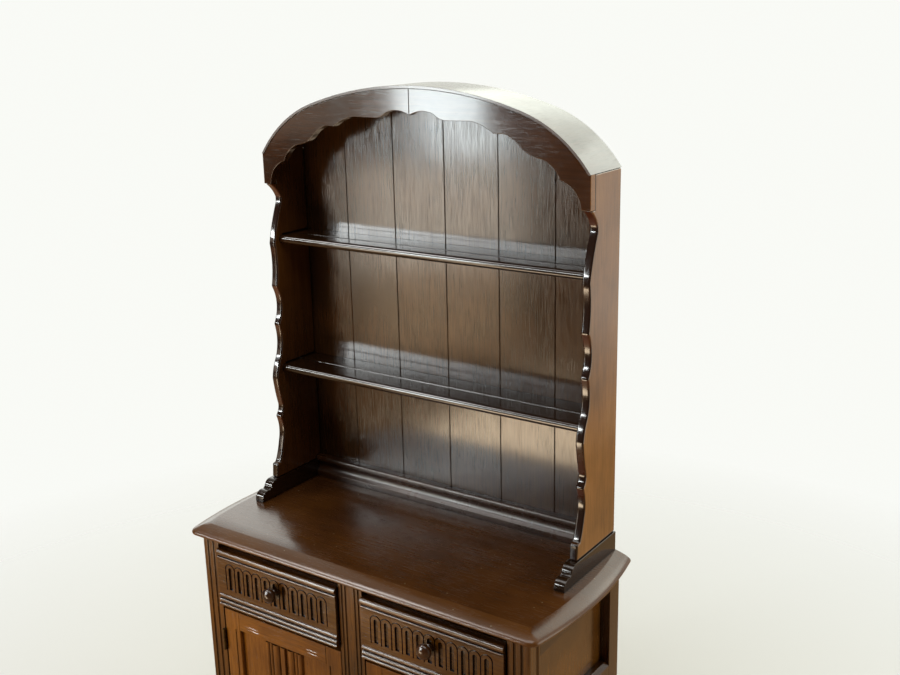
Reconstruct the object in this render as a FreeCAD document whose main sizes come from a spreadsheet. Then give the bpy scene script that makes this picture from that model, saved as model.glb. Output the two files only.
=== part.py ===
import FreeCAD, Part
import Sketcher
import os
from FreeCAD import Vector

# An arched dark oak dresser: a plate rack with a scalloped arch stands on a low cupboard
# with two drawers over two doors. Millimetres, +Z up, the front faces -Y. The origin lies
# on the floor, under the middle of the whole piece.

SIZES = {
    # table top
    "top_width": 966, "top_depth": 412, "top_thickness": 22, "top_height": 770,
    "side_bow": 22, "top_slope_run": 22, "top_slope_drop": 15, "top_corner_radius": 25,
    "nose_round": 3, "top_arris_round": 8,
    # how far the table top stands over the cupboard
    "front_overhang": 21, "side_overhang": 21, "back_overhang": 11,
    # plate rack
    "rack_inset": 19, "rack_depth": 129, "rack_side_thickness": 19, "arch_height": 983,
    "arch_rise": 158, "fascia_rise": 227, "fascia_thickness": 18,
    "roof_thickness": 6, "roof_lip": 2, "foot_height": 43, "foot_width": 24,
    "foot_proud": 3, "foot_reach": 99, "back_board_thickness": 8, "board_joint_bevel": 1.5,
    "tongue_thickness": 2.6, "tongue_length": 5, "back_rail_height": 54,
    "back_rail_thickness": 21,
    # shelves of the rack
    "shelf_thickness": 18,
    "lower_shelf_setback": 1, "upper_shelf_setback": 17, "shelf_nose_radius": 8,
    "housing_depth": 6, "housing_setback": 15, "plate_groove_width": 5,
    "plate_groove_depth": 2.5, "plate_groove_distance": 55,
    # screws from the table top into the rack's feet
    "screw_radius": 2.4, "screw_head_radius": 4.5, "screw_head_thickness": 3,
    "screw_bite": 28, "screw_clearance": 0.3, "front_screw_distance": 60,
    "rear_screw_distance": 66,
    # corner posts and muntin
    "post_width": 50, "post_depth": 41, "rear_post_width": 40, "rear_post_depth": 42,
    "reed_groove_width": 6, "reed_groove_depth": 4, "first_reed_groove": 16,
    "second_reed_groove": 33, "side_groove": 29, "side_groove_width": 11,
    "post_corner_radius": 5, "muntin_width": 64, "front_frame_depth": 20,
    "muntin_groove_width": 4, "muntin_groove_depth": 3, "muntin_outer_groove": 9.5,
    "muntin_inner_groove": 19.5,
    # rails of the cupboard
    "front_top_rail_height": 20, "rail_thickness": 22, "drawer_opening_height": 145,
    "mid_rail_height": 23, "bottom_rail_top": 108, "bottom_rail_height": 48,
    "side_top_rail_height": 51, "side_mid_rail_top": 526, "side_mid_rail_height": 48,
    "side_rail_bevel": 9, "side_panel_thickness": 8, "panel_groove": 6,
    "plinth_height": 64, "plinth_thickness": 12, "plinth_bevel": 8,
    # inside of the cupboard
    "back_panel_thickness": 6, "back_panel_setback": 2, "board_thickness": 16,
    "cupboard_shelf_height": 330, "batten_size": 16, "runner_base_width": 22,
    "runner_height": 16, "guide_height": 18, "guide_width": 8, "kicker_width": 30,
    "door_stop_overlap": 14, "door_stop_thickness": 12,
    # drawers
    "drawer_proud": 9, "drawer_end_gap": 3, "drawer_gap": 1, "drawer_top_gap": 2,
    "drawer_front_thickness": 18, "moulding_depth": 6, "top_moulding_height": 23,
    "bottom_moulding_height": 31, "drawer_box_inset": 8, "drawer_side_clearance": 2,
    "drawer_wall": 12, "drawer_box_height": 112, "drawer_length": 314,
    "drawer_bottom_thickness": 5, "drawer_bottom_rise": 9, "drawer_bottom_groove": 5,
    "flute_channel_depth": 4, "flute_ring_depth": 2,
    "flute_ring_drop": 2.5, "flute_foot_height": 46, "flute_spring_height": 97,
    "flute_count": 11,
    # turned knobs
    "knob_radius": 17, "knob_length": 31, "knob_height": 82, "spindle_radius": 5,
    "door_knob_radius": 15, "door_knob_length": 28, "door_knob_height": 300,
    # doors
    "door_gap": 2, "door_top_overlap": 10, "hinge_gap": 3, "stile_width": 45, "door_top_rail_height": 46,
    "door_bottom_rail_height": 58, "door_panel_thickness": 8, "door_panel_setback": 10,
    "door_panel_groove": 8, "stile_groove_distance": 12, "stile_groove_width": 3,
    "stile_groove_depth": 2, "stile_round": 2.5, "fold_height": 9, "fold_half_width": 56,
    "fold_top_margin": 4, "fold_bottom_margin": 12, "fold_bevel": 5,
    # butt hinges
    "hinge_length": 53, "hinge_end_distance": 54, "knuckle_radius": 4,
    "knuckle_proud": 4.5, "leaf_thickness": 1.4, "leaf_space": 0.3, "pin_radius": 1.6,
    "pin_clearance": 0.05, "knuckle_space": 0.3, "pin_head_radius": 2.8,
    "pin_head_thickness": 1.2,
    # cutting solids run this far past what they cut
    "overrun": 10,
}

# Points of the outlines, as shares of the size that each follows.
# Arch, from shoulder to crown: share of the half width, share of the rise.
ARCH_SHOULDER_MIDDLE_SHARES = (0.843, 0.440)
ARCH_TURN_SHARES = (0.641, 0.723)
# Scalloped lower edge of half the arch, from the middle outwards: share of the half width,
# share of the height from the fascia's end to the crown. A step with two points is an arc.
SCALLOP_SHARES = [
    ((0.071, 0.773), (0.147, 0.749)),
    ((0.176, 0.714), (0.214, 0.698)),
    ((0.352, 0.703),),
    ((0.423, 0.670), (0.485, 0.604)),
    ((0.542, 0.606),),
    ((0.599, 0.555), (0.639, 0.489)),
    ((0.679, 0.441), (0.739, 0.410)),
    ((0.803, 0.346), (0.842, 0.242)),
    ((0.912, 0.167), (0.948, 0.031)),
    ((0.950, 0.0),),
]
SCALLOP_START_SHARES = (0.0, 0.733)
# Wavy front edge of a rack side, from the fascia's end down to the foot: share of the
# rack's depth behind its front, share of the fascia end's height over the table top.
SIDE_EDGE_SHARES = [
    ((0.163, 0.976), (0.240, 0.955)),
    ((0.240, 0.939),),
    ((0.105, 0.878), (0.008, 0.815)),
    ((0.039, 0.745), (-0.008, 0.679)),
    ((0.089, 0.618), (-0.008, 0.558)),
    ((0.039, 0.509), (-0.023, 0.450)),
    ((-0.115, 0.413), (-0.147, 0.384)),
    ((-0.105, 0.337), (-0.047, 0.294)),
    ((-0.062, 0.272), (-0.124, 0.257)),
    ((-0.066, 0.218), (-0.097, 0.169)),
    ((-0.155, 0.132), (-0.217, 0.106)),
    ((-0.295, 0.103),),
]
SIDE_TOE_SHARE = -0.318
# Front of a foot runner: share of its reach, share of its height.
FOOT_TOP_SHARE = 0.485
FOOT_SHARES = [
    ((0.607, 0.902), (0.677, 0.650)),
    ((0.727, 0.535),),
    ((0.929, 0.465), (1.0, 0.140)),
    ((1.0, 0.0),),
]
# Face of the moulded rail at the foot of the back: share of its thickness, of its height.
BACK_RAIL_SHARES = [
    ((0.0, 0.255),),
    ((0.120, 0.290),),
    ((0.450, 0.500), (0.120, 0.760)),
    ((0.0, 0.795),),
    ((0.0, 0.907),),
    ((0.071, 0.972), (0.238, 1.0)),
]
# Drawer mouldings, downwards: share of their depth, behind the field's face, and share of
# the moulding's height.
TOP_MOULDING_SHARES = [
    ((-0.45, 0.38), (0.60, 0.76)),
    ((0.60, 0.82),),
    ((-0.15, 0.91), (0.10, 1.0)),
    ((0.0, 1.0),),
]
BOTTOM_MOULDING_SHARES = [
    ((0.20, 0.0),),
    ((-0.30, 0.10), (0.55, 0.39)),
    ((0.30, 0.42),),
    ((-0.45, 0.55), (0.55, 0.76)),
    ((0.20, 0.77),),
    ((-0.60, 0.88), (0.40, 1.0)),
]
# Half of a turned knob, from the face it stands on: share of its radius, of its length.
KNOB_SHARES = [
    ((0.56, 0.0),),
    ((0.56, 0.070),),
    ((0.38, 0.120), (0.34, 0.230)),
    ((0.42, 0.300), (0.70, 0.350)),
    ((1.00, 0.640), (0.70, 0.890)),
    ((0.40, 0.975), (0.12, 1.0)),
    ((0.0, 1.0),),
]
# Carved folds of a door panel, from the middle outwards: share of the half width, of the
# height. Each step is mirrored to the other side.
FOLD_START_SHARE = 1.0
FOLD_SHARES = [
    ((0.10, 1.0),),
    ((0.13, 0.35),),
    ((0.22, 0.35),),
    ((0.40, 1.15), (0.56, 0.70)),
    ((0.59, 0.30),),
    ((0.67, 0.85), (0.75, 0.30)),
    ((0.86, 0.95), (0.96, 0.60)),
    ((1.0, 0.0),),
]
ARC_MIDDLE_SHARE = 0.29289
# Height of each shelf of the rack, as a share of the fascia end's height over the table top.
LOWER_SHELF_SHARE = 0.42593
UPPER_SHELF_SHARE = 0.83730
# Width of the inner back boards, as a share of half the space between the side boards.
BOARD_PITCH_SHARE = 0.34503
# Spacing of the flutes as a share of the drawer's width, and their widths as shares of the
# spacing.
FLUTE_PITCH_SHARE = 0.07784
FLUTE_CHANNEL_SHARE = 0.39416
FLUTE_RING_SHARE = 0.56204
FLUTE_RING_WIDTH_SHARE = 0.11679

doc = FreeCAD.newDocument("arched_dresser")
sheet = doc.addObject("Spreadsheet::Sheet", "Sizes")
for row, (name, value) in enumerate(SIZES.items(), start=1):
    sheet.set("A%d" % row, name)
    sheet.set("B%d" % row, str(value))
    sheet.setAlias("B%d" % row, name)
doc.recompute()


def formula_of(value):
    """Return the formula of a size, or the text of a share."""
    if isinstance(value, Size):
        return value.formula
    return repr(value)


def number_of(value):
    """Return the number of a size, or the share itself."""
    if isinstance(value, Size):
        return value.number
    return value


class Size:
    """A length with its number and the formula that ties it to the sheet."""

    def __init__(self, number, formula):
        self.number = number
        self.formula = formula

    def __add__(self, other):
        return Size(self.number + number_of(other), "(%s + %s)" % (self.formula, formula_of(other)))

    def __sub__(self, other):
        return Size(self.number - number_of(other), "(%s - %s)" % (self.formula, formula_of(other)))

    def __mul__(self, other):
        return Size(self.number * number_of(other), "(%s * %s)" % (self.formula, formula_of(other)))

    def __truediv__(self, other):
        return Size(self.number / number_of(other), "(%s / %s)" % (self.formula, formula_of(other)))

    def __neg__(self):
        return Size(-self.number, "(-1 * %s)" % self.formula)


class SheetSizes:
    """Gives each cell of the sheet as a size, by its alias."""

    def __getattr__(self, name):
        return Size(float(sheet.get(name)), "Sizes.%s" % name)


S = SheetSizes()
NONE = Size(0.0, "0")


def bind(thing, path, size):
    """Tie one property of a document object to the sheet."""
    thing.setExpression(path, size.formula)


def name_edges(shape, test, unless=None):
    """Return the names of the edges whose ends and middle all pass the test.

    Edges whose points all pass the second test are left out.
    """
    names = []
    for index, edge in enumerate(shape.Edges, start=1):
        middle = edge.valueAt((edge.FirstParameter + edge.LastParameter) / 2)
        points = [vertex.Point for vertex in edge.Vertexes] + [middle]
        if unless and all(unless(point) for point in points):
            continue
        if all(test(point) for point in points):
            names.append("Edge%d" % index)
    return names


def near(number, size):
    """Tell whether a coordinate lies at a size."""
    return abs(number - size.number) < abs(S.overrun.number) / 1000


def mirrored(side, low, high):
    """Return a span along X for the right side (1) or its mirror image (-1)."""
    if side > 0:
        return low, high
    return -high, -low


SIDE_NAMES = {-1: "left", 1: "right"}


class Piece:
    """One solid sub-part: a body made of blocks, padded outlines, turnings and cuts."""

    def __init__(self, label):
        self.body = doc.addObject("PartDesign::Body", label)
        self.body.Label = label
        self.planes = {feature.Role: feature for feature in self.body.Origin.OriginFeatures}

    def block(self, low, high, kind="PartDesign::AdditiveBox"):
        """Add (or cut) the box between two corners."""
        box = self.body.newObject(kind, "Block")
        bind(box, "Length", high[0] - low[0])
        bind(box, "Width", high[1] - low[1])
        bind(box, "Height", high[2] - low[2])
        bind(box, "Placement.Base.x", low[0])
        bind(box, "Placement.Base.y", low[1])
        bind(box, "Placement.Base.z", low[2])
        return box

    def cut_block(self, low, high):
        """Cut the box between two corners and make sure that it cuts."""
        return self.checked_cut(lambda: self.block(low, high, "PartDesign::SubtractiveBox"))

    def cylinder(self, centre, radius, height, kind="PartDesign::AdditiveCylinder"):
        """Add (or cut) an upright cylinder that stands on its centre point."""
        rod = self.body.newObject(kind, "Rod")
        bind(rod, "Radius", radius)
        bind(rod, "Height", height)
        bind(rod, "Placement.Base.x", centre[0])
        bind(rod, "Placement.Base.y", centre[1])
        bind(rod, "Placement.Base.z", centre[2])
        return rod

    def cut_cylinder(self, centre, radius, height):
        """Cut an upright hole and make sure that it cuts."""
        kind = "PartDesign::SubtractiveCylinder"
        return self.checked_cut(lambda: self.cylinder(centre, radius, height, kind))

    def checked_cut(self, make):
        """Run a cut and stop if it took nothing away."""
        doc.recompute()
        before = self.body.Shape.Volume
        feature = make()
        doc.recompute()
        if self.body.Shape.Volume >= before:
            raise RuntimeError("a cut in %s takes nothing away" % self.body.Label)
        return feature

    def outline(self, plane, offset, start, steps):
        """Draw a closed outline on a plane of the body, moved along its normal."""
        sketch = self.body.newObject("Sketcher::SketchObject", "Outline")
        sketch.AttachmentSupport = [(self.planes[plane], "")]
        sketch.MapMode = "FlatFace"
        bind(sketch, "AttachmentOffset.Base.z", offset)
        draw_chain(sketch, start, steps)
        return sketch

    def pad(self, plane, offset, start, steps, length):
        """Draw an outline and pad it along the plane's normal."""
        sketch = self.outline(plane, offset, start, steps)
        feature = self.body.newObject("PartDesign::Pad", "Pad")
        feature.Profile = sketch
        bind(feature, "Length", length)
        return feature

    def pocket(self, plane, offset, start, steps, length):
        """Draw an outline and cut it against the plane's normal."""
        def make():
            sketch = self.outline(plane, offset, start, steps)
            feature = self.body.newObject("PartDesign::Pocket", "Pocket")
            feature.Profile = sketch
            bind(feature, "Length", length)
            return feature
        return self.checked_cut(make)

    def round_edges(self, test, radius, unless=None):
        """Round the edges that pass the test."""
        doc.recompute()
        tip = self.body.Tip
        feature = self.body.newObject("PartDesign::Fillet", "Rounding")
        feature.Base = (tip, name_edges(tip.Shape, test, unless))
        bind(feature, "Radius", radius)
        return feature

    def bevel_edges(self, test, size):
        """Bevel the edges that pass the test."""
        doc.recompute()
        tip = self.body.Tip
        feature = self.body.newObject("PartDesign::Chamfer", "Bevel")
        feature.Base = (tip, name_edges(tip.Shape, test))
        bind(feature, "Size", size)
        return feature


def draw_chain(sketch, start, steps):
    """Fill a sketch with a closed chain of lines and arcs whose points follow the sheet.

    A step is (end,) for a line and (middle, end) for an arc through its middle.
    """
    chain = list(steps)
    if chain[-1][-1] is not start:
        chain.append((start,))
    here = start
    edges = []
    for step in chain:
        first = Vector(here[0].number, here[1].number, 0)
        last = Vector(step[-1][0].number, step[-1][1].number, 0)
        if len(step) == 1:
            edges.append(Part.LineSegment(first, last))
        else:
            middle = Vector(step[0][0].number, step[0][1].number, 0)
            edges.append(Part.Arc(first, middle, last))
        here = step[-1]
    ids = list(sketch.addGeometry(edges, False))
    rules = []
    formulas = []

    def fix(index, position, point):
        for kind, size in (("DistanceX", point[0]), ("DistanceY", point[1])):
            rules.append(Sketcher.Constraint(kind, -1, 1, index, position, size.number))
            formulas.append((len(rules) - 1, size))

    here = start
    starts = []
    for index, step in zip(ids, chain):
        first = Vector(here[0].number, here[1].number, 0)
        gap = sketch.getPoint(index, 1) - first
        far = sketch.getPoint(index, 2) - first
        starts.append(1 if gap.Length < far.Length else 2)
        here = step[-1]
    here = start
    for place, (index, step) in enumerate(zip(ids, chain)):
        fix(index, starts[place], here)
        following = (place + 1) % len(ids)
        rules.append(Sketcher.Constraint("Coincident", index, 3 - starts[place],
                                         ids[following], starts[following]))
        if len(step) == 2:
            middle = Vector(step[0][0].number, step[0][1].number, 0)
            point = sketch.addGeometry(Part.Point(middle), True)
            rules.append(Sketcher.Constraint("PointOnObject", point, 1, index))
            fix(point, 1, step[0])
        here = step[-1]
    sketch.addConstraint(rules)
    for number, size in formulas:
        sketch.setExpression("Constraints[%d]" % number, size.formula)


def gather(label, pieces):
    """Join like pieces in one node, as separate solids."""
    group = doc.addObject("Part::Compound", label)
    group.Label = label
    group.Links = [piece.body for piece in pieces]
    return group


def shape_steps(shares, place):
    """Turn rows of shares into steps, with place giving the point of a pair of shares."""
    return [tuple(place(first, second) for first, second in row) for row in shares]


# Places that several pieces share.
half_top = S.top_width / 2
knob_reach = S.knob_length + S.drawer_proud - S.front_overhang
back = (S.top_depth + knob_reach) / 2
top_front = back - S.top_depth
base_front = top_front + S.front_overhang
base_back = back - S.back_overhang
corner_half = half_top - S.side_bow
base_half = corner_half - S.side_overhang
top_under = S.top_height - S.top_thickness
post_inner = base_half - S.post_width
rear_post_inner = base_half - S.rear_post_width
post_rear = base_front + S.post_depth
rear_post_front = base_back - S.rear_post_depth
muntin_half = S.muntin_width / 2
rail_inner = base_half - S.rail_thickness
panel_inner = rail_inner - S.side_panel_thickness
drawer_opening_top = top_under - S.front_top_rail_height
drawer_opening_bottom = drawer_opening_top - S.drawer_opening_height
door_opening_top = drawer_opening_bottom - S.mid_rail_height
bottom_rail_under = S.bottom_rail_top - S.bottom_rail_height
back_panel_rear = base_back - S.back_panel_setback
back_panel_front = back_panel_rear - S.back_panel_thickness
rear_rail_front = back_panel_front - S.rail_thickness
floor_under = S.bottom_rail_top - S.board_thickness
frame_rear = base_front + S.front_frame_depth
front_rail_rear = frame_rear + S.rail_thickness

rack_half = base_half - S.rack_inset
rack_inner = rack_half - S.rack_side_thickness
rack_front = back - S.rack_depth
rack_back_front = back - S.back_board_thickness
crown_z = S.top_height + S.arch_height
shoulder_z = crown_z - S.arch_rise
fascia_end_z = crown_z - S.fascia_rise
fascia_end_height = S.arch_height - S.fascia_rise
foot_top = S.top_height + S.foot_height
foot_outer = rack_half + S.foot_proud
foot_inner = foot_outer - S.foot_width


def arch_steps(half, crown):
    """Return the start and the steps of an arch from the right shoulder to the left."""
    def place(across, up):
        return (half * across, shoulder_z + (crown - shoulder_z) * up)

    right = place(1.0, 0.0)
    right_middle = place(*ARCH_SHOULDER_MIDDLE_SHARES)
    right_turn = place(*ARCH_TURN_SHARES)
    top = (NONE, crown)
    left_turn = (-right_turn[0], right_turn[1])
    left_middle = (-right_middle[0], right_middle[1])
    left = (-half, shoulder_z)
    return right, [(right_middle, right_turn), (top, left_turn), (left_middle, left)]


def half_arch_steps(half, crown):
    """Return the points of an arch from the crown to the right shoulder, as steps."""
    def place(across, up):
        return (half * across, shoulder_z + (crown - shoulder_z) * up)

    turn = place(*ARCH_TURN_SHARES)
    # The crown's arc is flat enough for its middle to lie at a quarter of its drop.
    middle = (turn[0] / 2, crown - (crown - turn[1]) / 4)
    return [(middle, turn), (place(*ARCH_SHOULDER_MIDDLE_SHARES), place(1.0, 0.0))]


inner_half = rack_half - S.roof_thickness
inner_crown = crown_z - S.roof_thickness


def cut_under_arch(piece):
    """Cut away what of a piece stands above the inner face of the roof."""
    start, steps = arch_steps(inner_half, inner_crown)
    right = rack_half + S.overrun
    high = crown_z + S.overrun
    steps = steps + [((-right, shoulder_z),), ((-right, high),), ((right, high),),
                     ((right, shoulder_z),)]
    front = rack_front - S.overrun
    piece.pocket("XZ_Plane", -front, start, steps, back + S.overrun - front)


def make_rack_side(side):
    """Side board of the rack, with its wavy front edge and the housings of the shelves."""
    piece = Piece("rack_side_%s" % SIDE_NAMES[side])
    low, high = mirrored(side, rack_inner, rack_half)

    def place(along, up):
        return (rack_front + S.rack_depth * along, S.top_height + fascia_end_height * up)

    notch = rack_front + S.fascia_thickness
    start = (notch, crown_z)
    steps = [((notch, fascia_end_z),), ((rack_front, fascia_end_z),)]
    steps += shape_steps(SIDE_EDGE_SHARES, place)
    steps += [((rack_front + S.rack_depth * SIDE_TOE_SHARE, foot_top),), ((back, foot_top),),
              ((back, crown_z),)]
    piece.pad("YZ_Plane", low, start, steps, high - low)
    cut_under_arch(piece)
    for height, setback in shelf_places():
        face = rack_front + setback
        cut_low, cut_high = mirrored(side, rack_inner - S.overrun, rack_inner + S.housing_depth)
        piece.cut_block((cut_low, face + S.housing_setback, height - S.shelf_thickness),
                        (cut_high, rack_back_front, height))
    cut_low, cut_high = mirrored(side, rack_inner - S.overrun, rack_inner + S.housing_depth)
    piece.cut_block((cut_low, rack_back_front, foot_top - S.overrun),
                    (cut_high, back + S.overrun, shoulder_z))


def shelf_places():
    """Return the height and the setback of each shelf of the rack."""
    return [(S.top_height + fascia_end_height * LOWER_SHELF_SHARE, S.lower_shelf_setback),
            (S.top_height + fascia_end_height * UPPER_SHELF_SHARE, S.upper_shelf_setback)]


def make_rack_foot(side):
    """Foot runner under a side board, scrolled at its front."""
    piece = Piece("rack_foot_%s" % SIDE_NAMES[side])
    low, high = mirrored(side, foot_inner, foot_outer)

    def place(along, up):
        return (rack_front - S.foot_reach * along, S.top_height + S.foot_height * up)

    start = (back, S.top_height)
    steps = [((back, foot_top),), (place(FOOT_TOP_SHARE, 1.0),)]
    steps += shape_steps(FOOT_SHARES, place)
    piece.pad("YZ_Plane", low, start, steps, high - low)
    for y in screw_rows():
        piece.cut_cylinder((screw_x(side), y, S.top_height - S.overrun),
                           S.screw_radius + S.screw_clearance,
                           S.overrun + S.screw_bite + S.screw_clearance)


def screw_rows():
    """Return where the screws of a foot stand, from front to rear."""
    return [rack_front - S.foot_reach * FOOT_TOP_SHARE + S.front_screw_distance,
            back - S.rear_screw_distance]


def screw_x(side):
    """Return the middle of a foot."""
    low, high = mirrored(side, foot_inner, foot_outer)
    return (low + high) / 2


def make_rack_screws():
    """Screws that come up through the table top into the feet."""
    screws = []
    for side in (-1, 1):
        for y in screw_rows():
            screw = Piece("rack_screw")
            length = S.top_thickness + S.screw_bite
            screw.cylinder((screw_x(side), y, top_under), S.screw_radius, length)
            screw.cylinder((screw_x(side), y, top_under), S.screw_head_radius,
                           S.screw_head_thickness)
            screws.append(screw)
    gather("rack_screws", screws)


def make_fascia(side):
    """Half of the arched front board, scalloped along its lower edge."""
    piece = Piece("arch_fascia_%s" % SIDE_NAMES[side])

    def flip(point):
        return point if side > 0 else (-point[0], point[1])

    def place(across, up):
        return flip((rack_half * across, fascia_end_z + (crown_z - fascia_end_z) * up))

    start = place(*SCALLOP_START_SHARES)
    steps = shape_steps(SCALLOP_SHARES, place)
    steps += [(flip((rack_half, fascia_end_z)),), (flip((rack_half, shoulder_z)),),
              (flip((inner_half, shoulder_z)),)]
    crown = half_arch_steps(inner_half, inner_crown)
    steps += [(flip(crown[1][0]), flip(crown[0][1])), (flip(crown[0][0]), (NONE, inner_crown))]
    rear = rack_front + S.fascia_thickness
    piece.pad("XZ_Plane", -rear, start, steps, S.fascia_thickness)


def make_roof():
    """Bent board over the rack."""
    piece = Piece("arch_roof")
    start, steps = arch_steps(rack_half, crown_z)
    inner_start, inner_steps = arch_steps(inner_half, inner_crown)
    points = [inner_start] + [point for step in inner_steps for point in step]
    points.reverse()
    steps = steps + [(points[0],)]
    steps += [(points[index], points[index + 1]) for index in range(1, len(points), 2)]
    piece.pad("XZ_Plane", -back, start, steps, S.rack_depth + S.roof_lip)


def make_back_boards():
    """Upright tongued boards of the back, with a V at each joint."""
    pitch = rack_inner * BOARD_PITCH_SHARE
    joints = [pitch * place for place in (-2, -1, 0, 1, 2)]
    edge = rack_inner + S.housing_depth
    lows = [-edge] + joints
    highs = joints + [edge]
    boards = []
    for number, (low, high) in enumerate(zip(lows, highs), start=1):
        board = Piece("back_board_%d" % number)
        board.block((low, rack_back_front, S.top_height), (high, back, inner_crown))
        if number in (1, len(lows)):
            narrow_end_board(board, number == 1)

        def at_joint(point, low=low, high=high):
            inside = [size for size in (low, high) if abs(size.number) < rack_inner.number]
            return near(point.y, rack_back_front) and any(near(point.x, size) for size in inside)

        board.bevel_edges(at_joint, S.board_joint_bevel)
        tongue_y = (rack_back_front + back) / 2 + S.tongue_thickness / 2
        if number < len(lows):
            board.block((high - S.tongue_length, tongue_y, S.top_height),
                        (high + S.tongue_length, tongue_y + S.tongue_thickness, inner_crown))
        if number > 1:
            board.cut_block((low - S.overrun, tongue_y, S.top_height - S.overrun),
                            (low + S.tongue_length, tongue_y + S.tongue_thickness,
                             crown_z))
        cut_under_arch(board)
        boards.append(board)
    gather("back_boards", boards)


def narrow_end_board(board, is_left):
    """Cut an end board back to the side boards, above the shoulder and below the foot."""
    for low_z, high_z, inner in ((shoulder_z, crown_z, rack_inner),
                                 (S.top_height - S.overrun, foot_top, foot_inner)):
        low, high = mirrored(-1 if is_left else 1, inner, rack_half + S.overrun)
        board.cut_block((low, rack_back_front - S.overrun, low_z),
                        (high, back + S.overrun, high_z))


def make_shelf(label, height, setback):
    """Shelf of the rack with a rounded nose and a groove that holds plates upright."""
    piece = Piece(label)
    face = rack_front + setback
    under = height - S.shelf_thickness
    piece.block((-rack_inner, face, under), (rack_inner, rack_back_front, height))
    piece.round_edges(lambda p: near(p.y, face) and not near(abs(p.x), rack_inner / 2)
                      and (near(p.z, height) or near(p.z, under)), S.shelf_nose_radius)
    tongue = rack_inner + S.housing_depth
    piece.block((-tongue, face + S.housing_setback, under), (tongue, rack_back_front, height))
    groove = rack_back_front - S.plate_groove_distance
    piece.cut_block((-rack_inner, groove - S.plate_groove_width, height - S.plate_groove_depth),
                    (rack_inner, groove, height + S.overrun))


def make_back_rail():
    """Moulded rail in front of the foot of the back boards."""
    piece = Piece("back_rail")
    face = rack_back_front - S.back_rail_thickness

    def place(along, up):
        return (face + S.back_rail_thickness * along, S.top_height + S.back_rail_height * up)

    start = (face, S.top_height)
    high = S.top_height + S.back_rail_height
    steps = shape_steps(BACK_RAIL_SHARES, place)
    steps += [((rack_back_front, high),), ((rack_back_front, S.top_height),)]
    piece.pad("YZ_Plane", -foot_inner, start, steps, foot_inner * 2)


def top_outline(piece, height):
    """Draw the table top's plan: straight in front and bowed at the sides.

    The outline runs on behind the back by the slope's run, so that the back can be cut flat.
    """
    sketch = piece.body.newObject("Sketcher::SketchObject", "Plan")
    sketch.AttachmentSupport = [(piece.planes["XY_Plane"], "")]
    sketch.MapMode = "FlatFace"
    bind(sketch, "AttachmentOffset.Base.z", height)
    middle_y = (top_front + back) / 2
    rear = back + S.top_slope_run
    half, bow = half_top.number, S.side_bow.number
    depth, corner = S.top_depth.number / 2, S.top_corner_radius.number
    radius = (bow * bow + depth * depth) / bow / 2
    centre = Vector(half - radius, middle_y.number, 0)
    lift = corner - depth
    corner_centre = centre + Vector(((radius - corner) ** 2 - lift ** 2) ** 0.5, lift, 0)
    corner_end = centre + (corner_centre - centre) * (radius / (radius - corner))
    reach = rear.number - centre.y
    rear_end = centre + Vector((radius ** 2 - reach ** 2) ** 0.5, reach, 0)
    corner_start = Vector(corner_centre.x, top_front.number, 0)
    way = corner_start + corner_end - corner_centre * 2
    corner_middle = corner_centre + way * (corner / way.Length)
    side_middle = Vector(half, middle_y.number, 0)

    def flip(point):
        return Vector(-point.x, point.y, 0)

    edges = [Part.LineSegment(flip(corner_start), corner_start)]
    edges.append(Part.Arc(corner_start, corner_middle, corner_end))
    edges.append(Part.Arc(corner_end, side_middle, rear_end))
    edges.append(Part.LineSegment(rear_end, flip(rear_end)))
    edges.append(Part.Arc(flip(rear_end), flip(side_middle), flip(corner_end)))
    edges.append(Part.Arc(flip(corner_end), flip(corner_middle), flip(corner_start)))
    front, right_corner, right, behind, left, left_corner = sketch.addGeometry(edges, False)
    marks = [Part.Point(side_middle), Part.Point(flip(side_middle)),
             Part.Point(Vector(corner_half.number, top_front.number, 0)),
             Part.Point(Vector(-corner_half.number, top_front.number, 0))]
    marks = [sketch.addGeometry(mark, True) for mark in marks]
    rules = [
        Sketcher.Constraint("Tangent", front, 2, right_corner, 1),
        Sketcher.Constraint("Tangent", right_corner, 2, right, 1),
        Sketcher.Constraint("Coincident", right, 2, behind, 1),
        Sketcher.Constraint("Coincident", behind, 2, left, 1),
        Sketcher.Constraint("Tangent", left, 2, left_corner, 1),
        Sketcher.Constraint("Tangent", left_corner, 2, front, 1),
        Sketcher.Constraint("Horizontal", front),
        Sketcher.Constraint("Horizontal", behind),
        Sketcher.Constraint("PointOnObject", marks[0], 1, right),
        Sketcher.Constraint("PointOnObject", marks[1], 1, left),
        Sketcher.Constraint("PointOnObject", marks[2], 1, right),
        Sketcher.Constraint("PointOnObject", marks[3], 1, left),
    ]
    bound = [
        ("Radius", (right_corner,), S.top_corner_radius),
        ("Radius", (left_corner,), S.top_corner_radius),
        ("DistanceY", (-1, 1, front, 1), top_front),
        ("DistanceY", (-1, 1, behind, 1), rear),
        ("DistanceY", (-1, 1, right, 3), middle_y),
        ("DistanceY", (-1, 1, left, 3), middle_y),
        ("DistanceX", (-1, 1, marks[0], 1), half_top),
        ("DistanceY", (-1, 1, marks[0], 1), middle_y),
        ("DistanceX", (-1, 1, marks[1], 1), -half_top),
        ("DistanceY", (-1, 1, marks[1], 1), middle_y),
        ("DistanceX", (-1, 1, marks[2], 1), corner_half),
        ("DistanceY", (-1, 1, marks[2], 1), top_front),
        ("DistanceX", (-1, 1, marks[3], 1), -corner_half),
        ("DistanceY", (-1, 1, marks[3], 1), top_front),
    ]
    first = len(rules)
    rules += [Sketcher.Constraint(kind, *places, size.number) for kind, places, size in bound]
    sketch.addConstraint(rules)
    for number, (kind, places, size) in enumerate(bound, start=first):
        sketch.setExpression("Constraints[%d]" % number, size.formula)
    return sketch


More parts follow.
